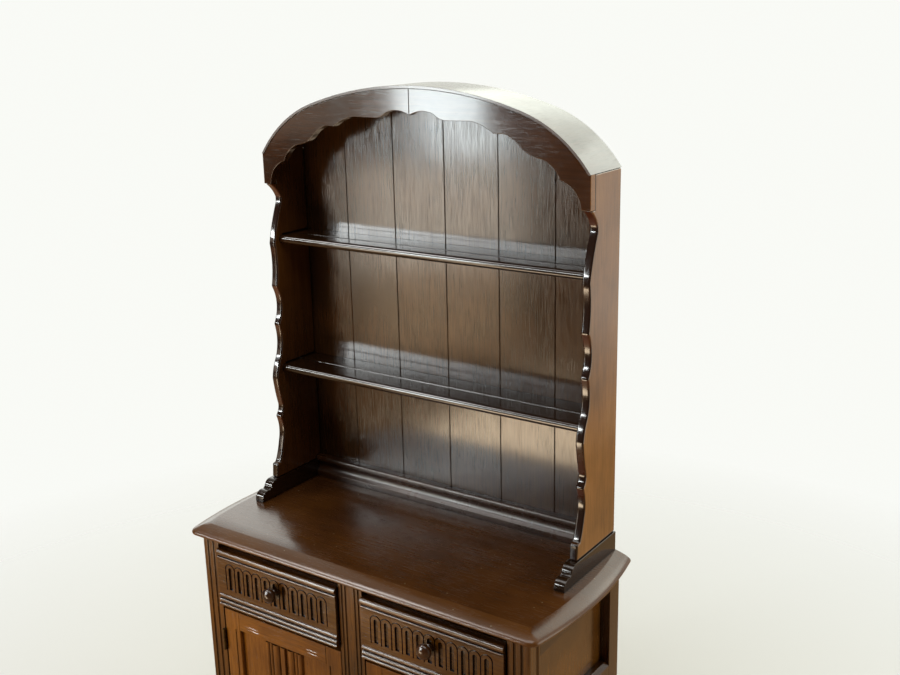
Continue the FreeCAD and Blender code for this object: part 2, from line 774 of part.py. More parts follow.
def make_table_top():
    """Table top with bowed sides and a sloped edge over a thin rounded nose."""
    piece = Piece("table_top")
    nose_top = S.top_height - S.top_slope_drop
    for height, length in ((top_under, S.top_thickness - S.top_slope_drop),
                           (nose_top, S.top_slope_drop)):
        sketch = top_outline(piece, height)
        slope = piece.body.newObject("PartDesign::Pad", "Pad")
        slope.Profile = sketch
        bind(slope, "Length", length)
    slope.setExpression("TaperAngle", "-atan(Sizes.top_slope_run / Sizes.top_slope_drop)")
    far = half_top + S.overrun
    rear = back + S.top_slope_run + S.overrun
    piece.cut_block((-far, back, top_under - S.overrun), (far, rear, S.top_height + S.overrun))
    piece.round_edges(lambda p: near(p.z, S.top_height), S.top_arris_round,
                      lambda p: near(p.y, back))
    piece.round_edges(lambda p: near(p.z, top_under) or near(p.z, nose_top), S.nose_round,
                      lambda p: near(p.y, back))
    for side in (-1, 1):
        for y in screw_rows():
            centre = (screw_x(side), y, top_under - S.overrun)
            piece.cut_cylinder(centre, S.screw_radius + S.screw_clearance,
                               S.top_thickness + S.overrun * 2)
            piece.cut_cylinder(centre, S.screw_head_radius + S.screw_clearance,
                               S.overrun + S.screw_head_thickness)


def groove_steps(at, width, depth, place):
    """Return the steps of a round groove across a face, given the place on the face."""
    return [(place(at - width / 2, NONE),),
            (place(at, depth), place(at + width / 2, NONE))]


def make_front_post(side):
    """Front corner post with two reeding grooves on its face and one on its side."""
    piece = Piece("front_post_%s" % SIDE_NAMES[side])

    def flip(across, deep):
        x = post_inner + across
        return (x if side > 0 else -x, base_front + deep)

    def on_side(along, deep):
        return flip(S.post_width - deep, along)

    radius = S.post_corner_radius
    short = radius * ARC_MIDDLE_SHARE
    start = flip(NONE, NONE)
    steps = groove_steps(S.first_reed_groove, S.reed_groove_width, S.reed_groove_depth, flip)
    steps += groove_steps(S.second_reed_groove, S.reed_groove_width, S.reed_groove_depth, flip)
    steps += [(flip(S.post_width - radius, NONE),),
              (flip(S.post_width - short, short), flip(S.post_width, radius))]
    steps += groove_steps(S.side_groove, S.side_groove_width, S.reed_groove_depth, on_side)
    steps += [(flip(S.post_width, S.post_depth),), (flip(NONE, S.post_depth),)]
    piece.pad("XY_Plane", NONE, start, steps, top_under)
    cut_panel_groove(piece, side, post_rear - S.panel_groove, post_rear + S.overrun)


def cut_panel_groove(piece, side, low_y, high_y):
    """Cut the groove that a side panel stands in."""
    low, high = mirrored(side, panel_inner, rail_inner)
    piece.cut_block((low, low_y, bottom_rail_under), (high, high_y, top_under + S.overrun))


def make_rear_post(side):
    """Plain rear corner post, grooved for the side panel and the back panel."""
    piece = Piece("rear_post_%s" % SIDE_NAMES[side])
    low, high = mirrored(side, rear_post_inner, base_half)
    piece.block((low, rear_post_front, NONE), (high, base_back, top_under))
    cut_panel_groove(piece, side, rear_post_front - S.overrun, rear_post_front + S.panel_groove)
    low, high = mirrored(side, rear_post_inner - S.overrun, rear_post_inner + S.panel_groove)
    piece.cut_block((low, back_panel_front, bottom_rail_under),
                    (high, back_panel_rear, top_under + S.overrun))


def make_side_frame(side):
    """Rails and panel between the posts of one side."""
    low, high = mirrored(side, rail_inner, base_half)
    mid_under = S.side_mid_rail_top - S.side_mid_rail_height
    rails = []
    for name, under, top in (("top", top_under - S.side_top_rail_height, top_under),
                             ("mid", mid_under, S.side_mid_rail_top),
                             ("bottom", bottom_rail_under, S.bottom_rail_top)):
        rail = Piece("side_%s_rail" % name)
        rail.block((low, post_rear, under), (high, rear_post_front, top))
        if name != "top":
            rail.bevel_edges(lambda p, top=top: near(p.z, top) and near(abs(p.x), base_half),
                             S.side_rail_bevel)
        rails.append(rail)
    gather("side_rails_%s" % SIDE_NAMES[side], rails)
    panel = Piece("side_panel_%s" % SIDE_NAMES[side])
    low, high = mirrored(side, panel_inner, rail_inner)
    panel.block((low, post_rear - S.panel_groove, bottom_rail_under),
                (high, rear_post_front + S.panel_groove, top_under))


def make_front_top_rail():
    """Rail over the drawers, set back behind the muntin."""
    piece = Piece("front_top_rail")
    piece.block((-post_inner, frame_rear, drawer_opening_top),
                (post_inner, front_rail_rear, top_under))


def make_muntin():
    """Upright between the drawers and between the doors, with two reeds at each edge."""
    piece = Piece("centre_muntin")

    def place(across, deep):
        return (across - muntin_half, base_front + deep)

    start = place(NONE, NONE)
    steps = []
    for at in (S.muntin_outer_groove, S.muntin_inner_groove,
               S.muntin_width - S.muntin_inner_groove, S.muntin_width - S.muntin_outer_groove):
        steps += groove_steps(at, S.muntin_groove_width, S.muntin_groove_depth, place)
    steps += [(place(S.muntin_width, NONE),), (place(S.muntin_width, S.front_frame_depth),),
              (place(NONE, S.front_frame_depth),)]
    piece.pad("XY_Plane", S.bottom_rail_top, start, steps, top_under - S.bottom_rail_top)


def make_mid_rail():
    """Rail between the drawers and the doors, set back so that the doors close on it."""
    piece = Piece("mid_rail")
    piece.block((-post_inner, frame_rear, door_opening_top),
                (post_inner, front_rail_rear, drawer_opening_bottom))


def make_bottom_rail():
    """Rail under the doors."""
    piece = Piece("front_bottom_rail")
    piece.block((-post_inner, base_front, bottom_rail_under),
                (post_inner, base_front + S.rail_thickness, S.bottom_rail_top))


def make_plinth():
    """Plinth boards round the front and the sides, bevelled along the top."""
    outer = base_half + S.plinth_thickness
    face = base_front - S.plinth_thickness
    front = Piece("plinth_front")
    front.block((-outer, face, NONE), (outer, base_front, S.plinth_height))
    front.bevel_edges(lambda p: near(p.z, S.plinth_height) and not near(p.y, base_front)
                      and (near(p.y, face) or near(abs(p.x), outer)), S.plinth_bevel)
    boards = [front]
    for side in (-1, 1):
        low, high = mirrored(side, base_half, outer)
        board = Piece("plinth_side")
        board.block((low, base_front, NONE), (high, base_back, S.plinth_height))
        board.bevel_edges(lambda p: near(p.z, S.plinth_height) and near(abs(p.x), outer),
                          S.plinth_bevel)
        boards.append(board)
    gather("plinth_boards", boards)


def make_back_frame():
    """Rails across the back and the thin panel behind them."""
    rails = []
    for name, under, top in (("top", top_under - S.side_top_rail_height, top_under),
                             ("mid", drawer_opening_bottom - S.runner_height * 2,
                              drawer_opening_bottom - S.runner_height / 2),
                             ("bottom", bottom_rail_under, floor_under)):
        rail = Piece("rear_%s_rail" % name)
        rail.block((-rear_post_inner, rear_rail_front, under),
                   (rear_post_inner, back_panel_front, top))
        rails.append(rail)
    gather("rear_rails", rails)
    panel = Piece("base_back_panel")
    half = rear_post_inner + S.panel_groove
    panel.block((-half, back_panel_front, bottom_rail_under),
                (half, back_panel_rear, top_under))


def make_cupboard_boards():
    """Floor and shelf of the cupboard and the battens that they lie on."""
    floor = Piece("cupboard_floor")
    floor.block((-panel_inner, base_front + S.rail_thickness, floor_under),
                (panel_inner, back_panel_front, S.bottom_rail_top))
    for side in (-1, 1):
        low, high = mirrored(side, post_inner, panel_inner + S.overrun)
        floor.cut_block((low, base_front, floor_under - S.overrun),
                        (high, post_rear, S.bottom_rail_top + S.overrun))
        low, high = mirrored(side, rear_post_inner, panel_inner + S.overrun)
        floor.cut_block((low, rear_post_front, floor_under - S.overrun),
                        (high, base_back, S.bottom_rail_top + S.overrun))
    shelf = Piece("cupboard_shelf")
    shelf.block((-panel_inner, post_rear, S.cupboard_shelf_height),
                (panel_inner, rear_post_front, S.cupboard_shelf_height + S.board_thickness))
    battens = []
    for side in (-1, 1):
        low, high = mirrored(side, panel_inner - S.batten_size, panel_inner)
        for top in (floor_under, S.cupboard_shelf_height):
            batten = Piece("batten")
            batten.block((low, post_rear, top - S.batten_size), (high, rear_post_front, top))
            battens.append(batten)
    gather("shelf_battens", battens)


drawer_low = muntin_half + S.drawer_end_gap
drawer_high = post_inner - S.drawer_end_gap
drawer_centre = (muntin_half + post_inner) / 2
flute_pitch = (drawer_high - drawer_low) * FLUTE_PITCH_SHARE
box_low = drawer_low + S.drawer_box_inset
box_high = drawer_high - S.drawer_box_inset


def make_drawer_runners():
    """Runners that carry the drawers, each with a guide beside the drawer."""
    runners = []
    under = drawer_opening_bottom - S.runner_height
    top = drawer_opening_bottom
    for side in (-1, 1):
        low, high = mirrored(side, box_high - S.runner_base_width, post_inner)
        runner = Piece("outer_runner")
        runner.block((low, front_rail_rear, under), (high, rear_rail_front, top))
        low, high = mirrored(side, box_high + S.drawer_side_clearance, post_inner)
        runner.block((low, front_rail_rear, under), (high, rear_rail_front, top + S.guide_height))
        runners.append(runner)
    centre = Piece("centre_runner")
    half = box_low + S.runner_base_width
    centre.block((-half, front_rail_rear, under), (half, rear_rail_front, top))
    half = box_low - S.drawer_side_clearance
    centre.block((-half, front_rail_rear, under), (half, rear_rail_front, top + S.guide_height))
    runners.append(centre)
    gather("drawer_runners", runners)
    kickers = []
    for side in (-1, 1):
        middle = drawer_centre * side
        kicker = Piece("kicker")
        kicker.block((middle - S.kicker_width / 2, front_rail_rear, drawer_opening_top),
                     (middle + S.kicker_width / 2, rear_rail_front, top_under))
        kickers.append(kicker)
    gather("drawer_kickers", kickers)


def make_door_stop():
    """Strip behind the muntin that both doors close against."""
    piece = Piece("door_stop")
    half = muntin_half + S.door_stop_overlap
    piece.block((-half, frame_rear, S.bottom_rail_top),
                (half, frame_rear + S.door_stop_thickness, door_opening_top))


field_front = base_front - S.drawer_proud
board_rear = field_front + S.drawer_front_thickness
front_low_z = drawer_opening_bottom + S.drawer_gap
front_high_z = drawer_opening_top - S.drawer_top_gap


def make_drawer_front(side):
    """Drawer front with moulded top and bottom edges and a row of flutes between them."""
    name = SIDE_NAMES[side]
    piece = Piece("%s_drawer_front" % name)
    low, high = mirrored(side, drawer_low, drawer_high)

    def top_place(deep, down):
        return (field_front + S.moulding_depth * deep,
                front_high_z - S.top_moulding_height * down)

    def bottom_place(deep, down):
        return (field_front + S.moulding_depth * deep,
                front_low_z + S.bottom_moulding_height * (1.0 - down))

    start = (board_rear, front_high_z)
    steps = [(top_place(1.0, 0.0),)]
    steps += shape_steps(TOP_MOULDING_SHARES, top_place)
    steps += [(bottom_place(0.0, 0.0),)]
    steps += shape_steps(BOTTOM_MOULDING_SHARES, bottom_place)
    steps += [((board_rear, front_low_z),)]
    piece.pad("YZ_Plane", low, start, steps, high - low)
    cut_flutes(piece, side)
    middle = drawer_centre * side
    cut_spindle_hole(piece, middle, front_low_z + S.knob_height, field_front,
                     S.drawer_front_thickness)


def cut_flutes(piece, side):
    """Cut the row of round-headed flutes: a deep channel inside a shallow ring."""
    first = drawer_centre * side - flute_pitch * ((SIZES["flute_count"] - 1) / 2)
    spring = front_low_z + S.flute_spring_height
    foot = front_low_z + S.flute_foot_height
    half = flute_pitch * FLUTE_CHANNEL_SHARE / 2
    start = (first - half, foot)
    steps = [((first + half, foot),), ((first + half, spring),),
             ((first, spring + half), (first - half, spring))]
    channel = piece.pocket("XZ_Plane", -field_front, start, steps, S.flute_channel_depth)
    repeat(piece, channel)
    outer = flute_pitch * FLUTE_RING_SHARE
    inner = outer - flute_pitch * FLUTE_RING_WIDTH_SHARE
    foot = foot - S.flute_ring_drop
    start = (first - outer, foot)
    steps = [((first - outer, spring),), ((first, spring + outer), (first + outer, spring)),
             ((first + outer, foot),), ((first + inner, foot),), ((first + inner, spring),),
             ((first, spring + inner), (first - inner, spring)), ((first - inner, foot),)]
    ring = piece.pocket("XZ_Plane", -field_front, start, steps, S.flute_ring_depth)
    repeat(piece, ring)


def repeat(piece, feature):
    """Repeat a cut along X, once for each flute."""
    doc.recompute()
    before = piece.body.Shape.Volume
    row = piece.body.newObject("PartDesign::LinearPattern", "Row")
    row.Originals = [feature]
    row.Direction = (piece.planes["X_Axis"], [""])
    row.Occurrences = SIZES["flute_count"]
    bind(row, "Length", flute_pitch * (SIZES["flute_count"] - 1))
    piece.body.Tip = row
    doc.recompute()
    if piece.body.Shape.Volume >= before:
        raise RuntimeError("the flutes of %s are missing" % piece.body.Label)


def cut_spindle_hole(piece, x, z, face, depth):
    """Cut the hole that a knob's spindle stands in."""
    radius = S.spindle_radius + S.screw_clearance
    start = (x - radius, z)
    steps = [((x, z + radius), (x + radius, z)), ((x, z - radius), start)]
    piece.pocket("XZ_Plane", S.overrun - face, start, steps, depth + S.overrun * 2)


def make_knob(label, x, z, face, radius, length, spindle):
    """Turned knob whose spindle goes back into the wood."""
    piece = Piece(label)
    sketch = piece.body.newObject("Sketcher::SketchObject", "Outline")
    sketch.AttachmentSupport = [(piece.planes["XY_Plane"], "")]
    sketch.MapMode = "FlatFace"
    start = (NONE, spindle)
    steps = [((S.spindle_radius, spindle),), ((S.spindle_radius, NONE),)]
    steps += shape_steps(KNOB_SHARES, lambda out, along: (radius * out, -(length * along)))
    draw_chain(sketch, start, steps)
    turning = piece.body.newObject("PartDesign::Revolution", "Turning")
    turning.Profile = sketch
    turning.ReferenceAxis = (sketch, ["V_Axis"])
    turning.Angle = 360
    bind(piece.body, "Placement.Base.x", x)
    bind(piece.body, "Placement.Base.y", face)
    bind(piece.body, "Placement.Base.z", z)


def make_drawer_box(side):
    """Sides, back and bottom of a drawer, and its knob."""
    name = SIDE_NAMES[side]
    low, high = mirrored(side, box_low, box_high)
    under = drawer_opening_bottom
    top = under + S.drawer_box_height
    rear = board_rear + S.drawer_length
    bottom_z = under + S.drawer_bottom_rise
    inner_low = low + S.drawer_wall
    inner_high = high - S.drawer_wall
    groove_low = inner_low - S.drawer_bottom_groove
    groove_high = inner_high + S.drawer_bottom_groove
    walls = []
    for wall_low, wall_high in ((low, inner_low), (inner_high, high)):
        wall = Piece("drawer_side")
        wall.block((wall_low, board_rear, under), (wall_high, rear, top))
        wall.cut_block((groove_low, board_rear, bottom_z),
                       (groove_high, rear, bottom_z + S.drawer_bottom_thickness))
        walls.append(wall)
    gather("%s_drawer_sides" % name, walls)
    panel = Piece("%s_drawer_back" % name)
    panel.block((inner_low, rear - S.drawer_wall, bottom_z + S.drawer_bottom_thickness),
                (inner_high, rear, top))
    bottom = Piece("%s_drawer_bottom" % name)
    bottom.block((groove_low, board_rear, bottom_z),
                 (groove_high, rear, bottom_z + S.drawer_bottom_thickness))
    make_knob("%s_drawer_knob" % name, drawer_centre * side, front_low_z + S.knob_height,
              field_front, S.knob_radius, S.knob_length, S.drawer_front_thickness)


door_low_z = S.bottom_rail_top + S.door_gap
door_high_z = door_opening_top + S.door_top_overlap
door_inner = muntin_half + S.door_gap
door_outer = post_inner - S.hinge_gap
panel_low_z = door_low_z + S.door_bottom_rail_height
panel_high_z = door_high_z - S.door_top_rail_height
panel_face = base_front + S.door_panel_setback
panel_rear = panel_face + S.door_panel_thickness


def make_door(side):
    """Framed door with a panel carved as folded linen."""
    name = SIDE_NAMES[side]
    low, high = mirrored(side, door_inner, door_outer)
    inner_low = low + S.stile_width
    inner_high = high - S.stile_width
    stiles = []
    for stile_low, stile_high, edge, turn in ((low, inner_low, inner_low, -1),
                                              (inner_high, high, inner_high, 1)):
        stile = Piece("door_stile")
        stile.block((stile_low, base_front, door_low_z), (stile_high, frame_rear, door_high_z))
        stile.round_edges(lambda p: near(p.y, base_front)
                          and (near(p.x, stile_low) or near(p.x, stile_high)), S.stile_round)
        stile.cut_block((inner_low - S.door_panel_groove, panel_face,
                         panel_low_z - S.door_panel_groove),
                        (inner_high + S.door_panel_groove, panel_rear,
                         panel_high_z + S.door_panel_groove))
        line = edge + S.stile_groove_distance * turn
        half = S.stile_groove_width / 2
        stile.cut_block((line - half, base_front - S.overrun, panel_low_z),
                        (line + half, base_front + S.stile_groove_depth, panel_high_z))
        stiles.append(stile)
    knob_x = (door_inner + S.stile_width / 2) * side
    knob_z = door_low_z + S.door_knob_height
    inner_stile = stiles[0] if side > 0 else stiles[1]
    cut_spindle_hole(inner_stile, knob_x, knob_z, base_front, S.front_frame_depth)
    gather("%s_door_stiles" % name, stiles)
    rails = []
    for under, top in ((door_low_z, panel_low_z), (panel_high_z, door_high_z)):
        rail = Piece("door_rail")
        rail.block((inner_low, base_front, under), (inner_high, frame_rear, top))
        rail.cut_block((inner_low, panel_face, panel_low_z - S.door_panel_groove),
                       (inner_high, panel_rear, panel_high_z + S.door_panel_groove))
        rails.append(rail)
    gather("%s_door_rails" % name, rails)
    make_linen_panel(side, inner_low, inner_high)
    make_knob("%s_door_knob" % name, knob_x, knob_z, base_front, S.door_knob_radius,
              S.door_knob_length, S.front_frame_depth)


def make_linen_panel(side, low, high):
    """Door panel whose middle is raised in upright folds."""
    piece = Piece("%s_door_panel" % SIDE_NAMES[side])
    reach = S.door_panel_groove
    piece.block((low - reach, panel_face, panel_low_z - reach),
                (high + reach, panel_rear, panel_high_z + reach))
    middle = (low + high) / 2

    def place(across, up):
        return (middle + S.fold_half_width * across, panel_face - S.fold_height * up)

    right = shape_steps(FOLD_SHARES, place)
    left = [tuple(place(-across, up) for across, up in row) for row in FOLD_SHARES]
    ends = [(place(0.0, FOLD_START_SHARE),)] + left
    backward = []
    for index in range(len(left) - 1, -1, -1):
        before = ends[index][-1]
        step = left[index]
        backward.append((step[0], before) if len(step) == 2 else (before,))
    start = place(-1.0, 0.0)
    bottom = panel_low_z + S.fold_bottom_margin
    top = panel_high_z - S.fold_top_margin
    piece.pad("XY_Plane", bottom, start, backward + right, top - bottom)


def hinge_heights():
    """Return the lower end of each hinge of a door."""
    return [door_low_z + S.hinge_end_distance,
            door_high_z - S.hinge_end_distance - S.hinge_length]


hinge_y = base_front - S.knuckle_proud
hinge_x = post_inner - S.hinge_gap / 3
leaf_front = base_front - S.leaf_space
knuckle_part = S.hinge_length / 3


def make_leaf(side, low_z, on_post):
    """Leaf of a butt hinge with its share of the knuckle."""
    piece = Piece("hinge_leaf")
    if on_post:
        low, high = mirrored(side, post_inner - S.leaf_thickness, post_inner)
        parts = [(NONE, knuckle_part), (S.hinge_length - knuckle_part, knuckle_part)]
    else:
        low, high = mirrored(side, door_outer, door_outer + S.leaf_thickness)
        parts = [(knuckle_part + S.knuckle_space, knuckle_part - S.knuckle_space * 2)]
    piece.block((low, leaf_front, low_z), (high, frame_rear, low_z + S.hinge_length))
    x = hinge_x * side
    for lift, height in parts:
        piece.block((low, hinge_y, low_z + lift), (high, leaf_front, low_z + lift + height))
        piece.cylinder((x, hinge_y, low_z + lift), S.knuckle_radius, height)
    piece.cut_cylinder((x, hinge_y, low_z - S.overrun), S.pin_radius + S.pin_clearance,
                       S.hinge_length + S.overrun * 2)
    return piece


def make_hinges():
    """Butt hinges: leaves on the posts, leaves on the doors, and pins."""
    post_leaves = []
    pins = []
    for side in (-1, 1):
        door_leaves = []
        for low_z in hinge_heights():
            post_leaves.append(make_leaf(side, low_z, True))
            door_leaves.append(make_leaf(side, low_z, False))
            pin = Piece("hinge_pin")
            centre = (hinge_x * side, hinge_y, low_z - S.pin_head_thickness)
            pin.cylinder(centre, S.pin_radius, S.hinge_length + S.pin_head_thickness * 2)
            pin.cylinder(centre, S.pin_head_radius, S.pin_head_thickness)
            pin.cylinder((centre[0], centre[1], low_z + S.hinge_length), S.pin_head_radius,
                         S.pin_head_thickness)
            pins.append(pin)
        gather("%s_door_hinge_leaves" % SIDE_NAMES[side], door_leaves)
    gather("post_hinge_leaves", post_leaves)
    gather("hinge_pins", pins)


def make_all():
    """Build every sub-part."""
    make_table_top()
    make_roof()
    make_back_boards()
    make_back_rail()
    make_shelf("lower_shelf", *shelf_places()[0])
    make_shelf("upper_shelf", *shelf_places()[1])
    make_rack_screws()
    make_front_top_rail()
    make_mid_rail()
    make_muntin()
    make_bottom_rail()
    make_plinth()
    make_back_frame()
    make_cupboard_boards()
    make_drawer_runners()
    make_door_stop()
    for side in (-1, 1):
        make_rack_side(side)
        make_rack_foot(side)
        make_fascia(side)
        make_front_post(side)
        make_rear_post(side)
        make_side_frame(side)
        make_drawer_front(side)
        make_drawer_box(side)
        make_door(side)
    make_hinges()


def sub_parts():
    """Return the groups and the bodies that stand alone."""
    groups = [thing for thing in doc.Objects if thing.TypeId == "Part::Compound"]
    grouped = {body.Name for group in groups for body in group.Links}
    bodies = [thing for thing in doc.Objects if thing.TypeId == "PartDesign::Body"]
    return groups + [body for body in bodies if body.Name not in grouped]


def check_all():
    """Stop if any object failed or any sub-part is not sound."""
    for thing in doc.Objects:
        if "Invalid" in thing.State or "Error" in thing.State:
            raise RuntimeError("%s (%s) failed" % (thing.Name, thing.Label))
    for thing in sub_parts():
        if thing.Shape.isNull() or not thing.Shape.isValid():
            raise RuntimeError("%s has no sound shape" % thing.Label)


make_all()
doc.recompute()
check_all()
os.makedirs("parts", exist_ok=True)
for thing in sub_parts():
    thing.Shape.exportStep(os.path.join("parts", thing.Label + ".step"))
    print(thing.Label, len(thing.Shape.Solids))
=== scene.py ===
import math

import bmesh
import bpy
from mathutils import Matrix, Vector


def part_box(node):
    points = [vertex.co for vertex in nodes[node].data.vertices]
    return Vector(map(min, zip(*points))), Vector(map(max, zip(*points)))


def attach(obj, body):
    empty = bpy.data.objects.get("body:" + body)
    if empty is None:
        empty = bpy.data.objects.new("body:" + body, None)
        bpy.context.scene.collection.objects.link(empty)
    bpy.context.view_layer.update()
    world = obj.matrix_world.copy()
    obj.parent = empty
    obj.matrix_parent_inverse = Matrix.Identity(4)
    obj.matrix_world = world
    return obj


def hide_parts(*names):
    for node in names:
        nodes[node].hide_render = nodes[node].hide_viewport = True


# An arched dark oak dresser: plate rack over a cupboard with two fluted drawers and two
# doors. Metres, +Z up, the front faces -Y, as in the CAD.

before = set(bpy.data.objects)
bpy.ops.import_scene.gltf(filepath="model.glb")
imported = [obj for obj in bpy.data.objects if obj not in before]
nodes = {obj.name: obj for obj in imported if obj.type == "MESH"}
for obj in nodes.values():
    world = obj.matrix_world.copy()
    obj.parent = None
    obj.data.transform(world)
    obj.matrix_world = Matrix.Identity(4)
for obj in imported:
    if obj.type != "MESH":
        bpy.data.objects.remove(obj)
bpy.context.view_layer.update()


# ---------------------------------------------------------------- camera

CAMERA_PLACE = (1.3998, -1.7921, 1.8888)
CAMERA_TURN = (34.88, 16.03, -1.30)      # degrees to the left, down, and about the view
LENS, SENSOR = 44.86, 36.0               # millimetres
NEAREST = 0.05                           # metres; nothing closer is drawn


def make_camera():
    """Camera at the photograph's place, worked out from the dresser's edges in it."""
    yaw, pitch, roll = (math.radians(angle) for angle in CAMERA_TURN)
    forward = Vector((-math.sin(yaw) * math.cos(pitch), math.cos(yaw) * math.cos(pitch),
                      -math.sin(pitch)))
    right_flat = Vector((math.cos(yaw), math.sin(yaw), 0.0))
    up_flat = right_flat.cross(forward)
    right = right_flat * math.cos(roll) + up_flat * math.sin(roll)
    up = up_flat * math.cos(roll) - right_flat * math.sin(roll)
    data = bpy.data.cameras.new("camera")
    data.sensor_width = SENSOR
    data.lens = LENS
    data.clip_start = NEAREST
    camera = bpy.data.objects.new("camera", data)
    turn = Matrix((right, up, -forward)).transposed().to_4x4()
    camera.matrix_world = Matrix.Translation(Vector(CAMERA_PLACE)) @ turn
    bpy.context.scene.collection.objects.link(camera)
    bpy.context.scene.camera = camera


# ---------------------------------------------------------------- materials

class Graph:
    """Small helper around one material's node tree."""

    def __init__(self, name):
        self.material = bpy.data.materials.new(name)
        self.material.use_nodes = True
        self.tree = self.material.node_tree
        self.tree.nodes.clear()

    def add(self, kind, links=None, **settings):
        """Add a node, set its properties and inputs, and link what is given as sockets."""
        node = self.tree.nodes.new(kind)
        for key, value in settings.items():
            setattr(node, key, value)
        for key, value in (links or {}).items():
            if isinstance(value, bpy.types.NodeSocket):
                self.tree.links.new(value, node.inputs[key])
            else:
                node.inputs[key].default_value = value
        return node

    def math(self, operation, first, second=0.0):
        node = self.add("ShaderNodeMath", {0: first, 1: second}, operation=operation)
        return node.outputs[0]

    def vector(self, operation, first, second=(0.0, 0.0, 0.0), output=0):
        node = self.add("ShaderNodeVectorMath", {0: first, 1: second}, operation=operation)
        return node.outputs[output]

    def axis(self, vector, name):
        """One part of a vector, by the axis's letter."""
        return self.add("ShaderNodeSeparateXYZ", {0: vector}).outputs[name]

    def noise(self, vector, scale, detail, roughness=0.5):
        node = self.add("ShaderNodeTexNoise", {
            "Vector": vector, "Scale": scale, "Detail": detail, "Roughness": roughness})
        return node.outputs["Fac"]

    def ramp(self, value, stops):
        """Colours at given places of a value, blended between them."""
        node = self.add("ShaderNodeValToRGB", {"Fac": value})
        band = node.color_ramp
        while len(band.elements) < len(stops):
            band.elements.new(0.5)
        for element, (place, colour) in zip(band.elements, stops):
            element.position = place
            element.color = colour
        return node.outputs["Color"]

    def span(self, value, low, high, to_low=0.0, to_high=1.0):
        """A value mapped from one range to another, and held inside it."""
        node = self.add("ShaderNodeMapRange", {
            "Value": value, "From Min": low, "From Max": high, "To Min": to_low,
            "To Max": to_high})
        return node.outputs["Result"]

    def mix(self, factor, first, second):
        """The first colour, or the second where the factor is 1."""
        node = self.add("ShaderNodeMix", {0: factor, 6: first, 7: second}, data_type="RGBA")
        return node.outputs[2]


def rgb(text):
    """Linear colour of a display colour written as hex."""
    out = []
    for place in (0, 2, 4):
        value = int(text[place:place + 2], 16) / 255.0
        linear = value / 12.92 if value <= 0.04045 else ((value + 0.055) / 1.055) ** 2.4
        out.append(linear)
    return (*out, 1.0)


WOODS = {
    # tone: stain and painted shade in hollows, darker grain, main colour, lighter grain, worn
    # arris and the table top's painted sheen
    "case": ("0a0502", "2e190a", "40240f", "523016", "7a4c22"),
    "front": ("0a0502", "45290c", "613b10", "7c4e16", "9c6a24"),
    "drawer": ("0a0502", "41250b", "5b370f", "744a17", "8c5c22"),
    "top": ("0a0502", "3f230d", "543113", "653f19", "845424"),
    "boards": ("0e0804", "301e0e", "402712", "523418", "6a4724"),
    # side: paler, a painted light on the rack's outer sides and a painted highlight on the door
    # hems
    "side": ("140c05", "70481f", "8e5e2e", "a0703c", "a87638"),
    "panel": ("0a0502", "5c360e", "804e17", "a0681f", "a87028"),
    "dark": ("0a0502", "1e1108", "2a190b", "382110", "4a2c14"),
    "plain": ("4a321c", "7d5a34", "94693f", "ad8151", "c29a6b"),
}
FIGURE_STOPS = (0.42, 0.62, 0.84)      # where the darker, main and lighter grain stand
FIGURE_STRETCH = 0.05                  # share of the grain's scale that is left along it
PORE_DEPTH = 0.0003
ARRIS_REACH = 0.0018                   # how far an arris is worn from its edge
LACQUER_ROUGH, LACQUER_IOR = 0.12, 1.48
BOARD_PITCH = 0.1387                   # of the rack's back boards
OUTER_X = 0.4193                       # painted light: paler wood further out, on the rack's outer sides
OUTER_FADE = 0.0012
ARRIS_PAINTED_SHADE = rgb("1c0f07")             # painted shade on the fascia's upper arris
FRONT_PAINTED_SHADE = rgb("26130a")            # painted shade on the side boards' wavy front edges
UNDER_PAINTED_REFLECTION = rgb("5c2c10")             # painted warm reflection where those edges face down
SPECK = rgb("b9a98c")                  # small chips in the table top
SPECK_SCALE = 22.0


def part_boards(g, place, width):
    """Move the grain of each board to another place; also gives each board a value."""
    number = g.math("FLOOR", g.math("DIVIDE", g.axis(place, "X"), width))
    white = g.add("ShaderNodeTexWhiteNoise", {"W": number}, noise_dimensions="1D")
    move = g.vector("MULTIPLY", white.outputs["Color"], (2.0, 2.0, 7.0))
    return g.vector("ADD", place, move), white.outputs["Value"]


def draw_grain(g, place, along, board):
    """Values of the wood's figure and of its open pores, both long along the grain."""
    def drawn_out(share):
        return g.vector("MULTIPLY", place,
                        tuple(share if axis == along else 1.0 for axis in range(3)))

    if board:
        pore_share, pore_scale, sparse = 0.022, 950.0, (0.50, 0.63)
    else:
        pore_share, pore_scale, sparse = 0.045, 680.0, (0.54, 0.68)
    grain_place, pore_place = drawn_out(FIGURE_STRETCH), drawn_out(pore_share)
    push = g.add("ShaderNodeTexNoise", {"Vector": grain_place, "Scale": 6.0, "Detail": 1.0})
    push = g.vector("SUBTRACT", push.outputs["Color"], (0.5, 0.5, 0.5))
    pushed = g.vector("ADD", grain_place, g.vector("MULTIPLY", push, (0.05, 0.05, 0.05)))
    rings = g.add("ShaderNodeTexWave", {
        "Vector": pushed, "Scale": 24.0, "Distortion": 2.4, "Detail": 2.0,
        "Detail Scale": 1.4, "Detail Roughness": 0.6}, wave_type="RINGS",
        rings_direction="XYZ"[along]).outputs["Fac"]
    broad = g.noise(place, 5.0, 3.0, 0.55)
    streak = g.noise(grain_place, 260.0, 3.0, 0.6)
    fine = g.noise(pore_place, pore_scale, 2.0, 0.6)
    pore = g.math("MULTIPLY", g.span(fine, *sparse), g.span(rings, 0.1, 0.9, 0.7, 1.0))
    figure = g.math("ADD", g.math("MULTIPLY", streak, 0.35), g.math("MULTIPLY", rings, 0.05))
    return g.math("ADD", figure, g.math("MULTIPLY", broad, 0.80)), pore


def stain_figure(g, figure, tone):
    """Colour of the grain in one of the woods."""
    return g.ramp(figure, [(stop, rgb(text))
                           for stop, text in zip(FIGURE_STOPS, WOODS[tone][1:4])])


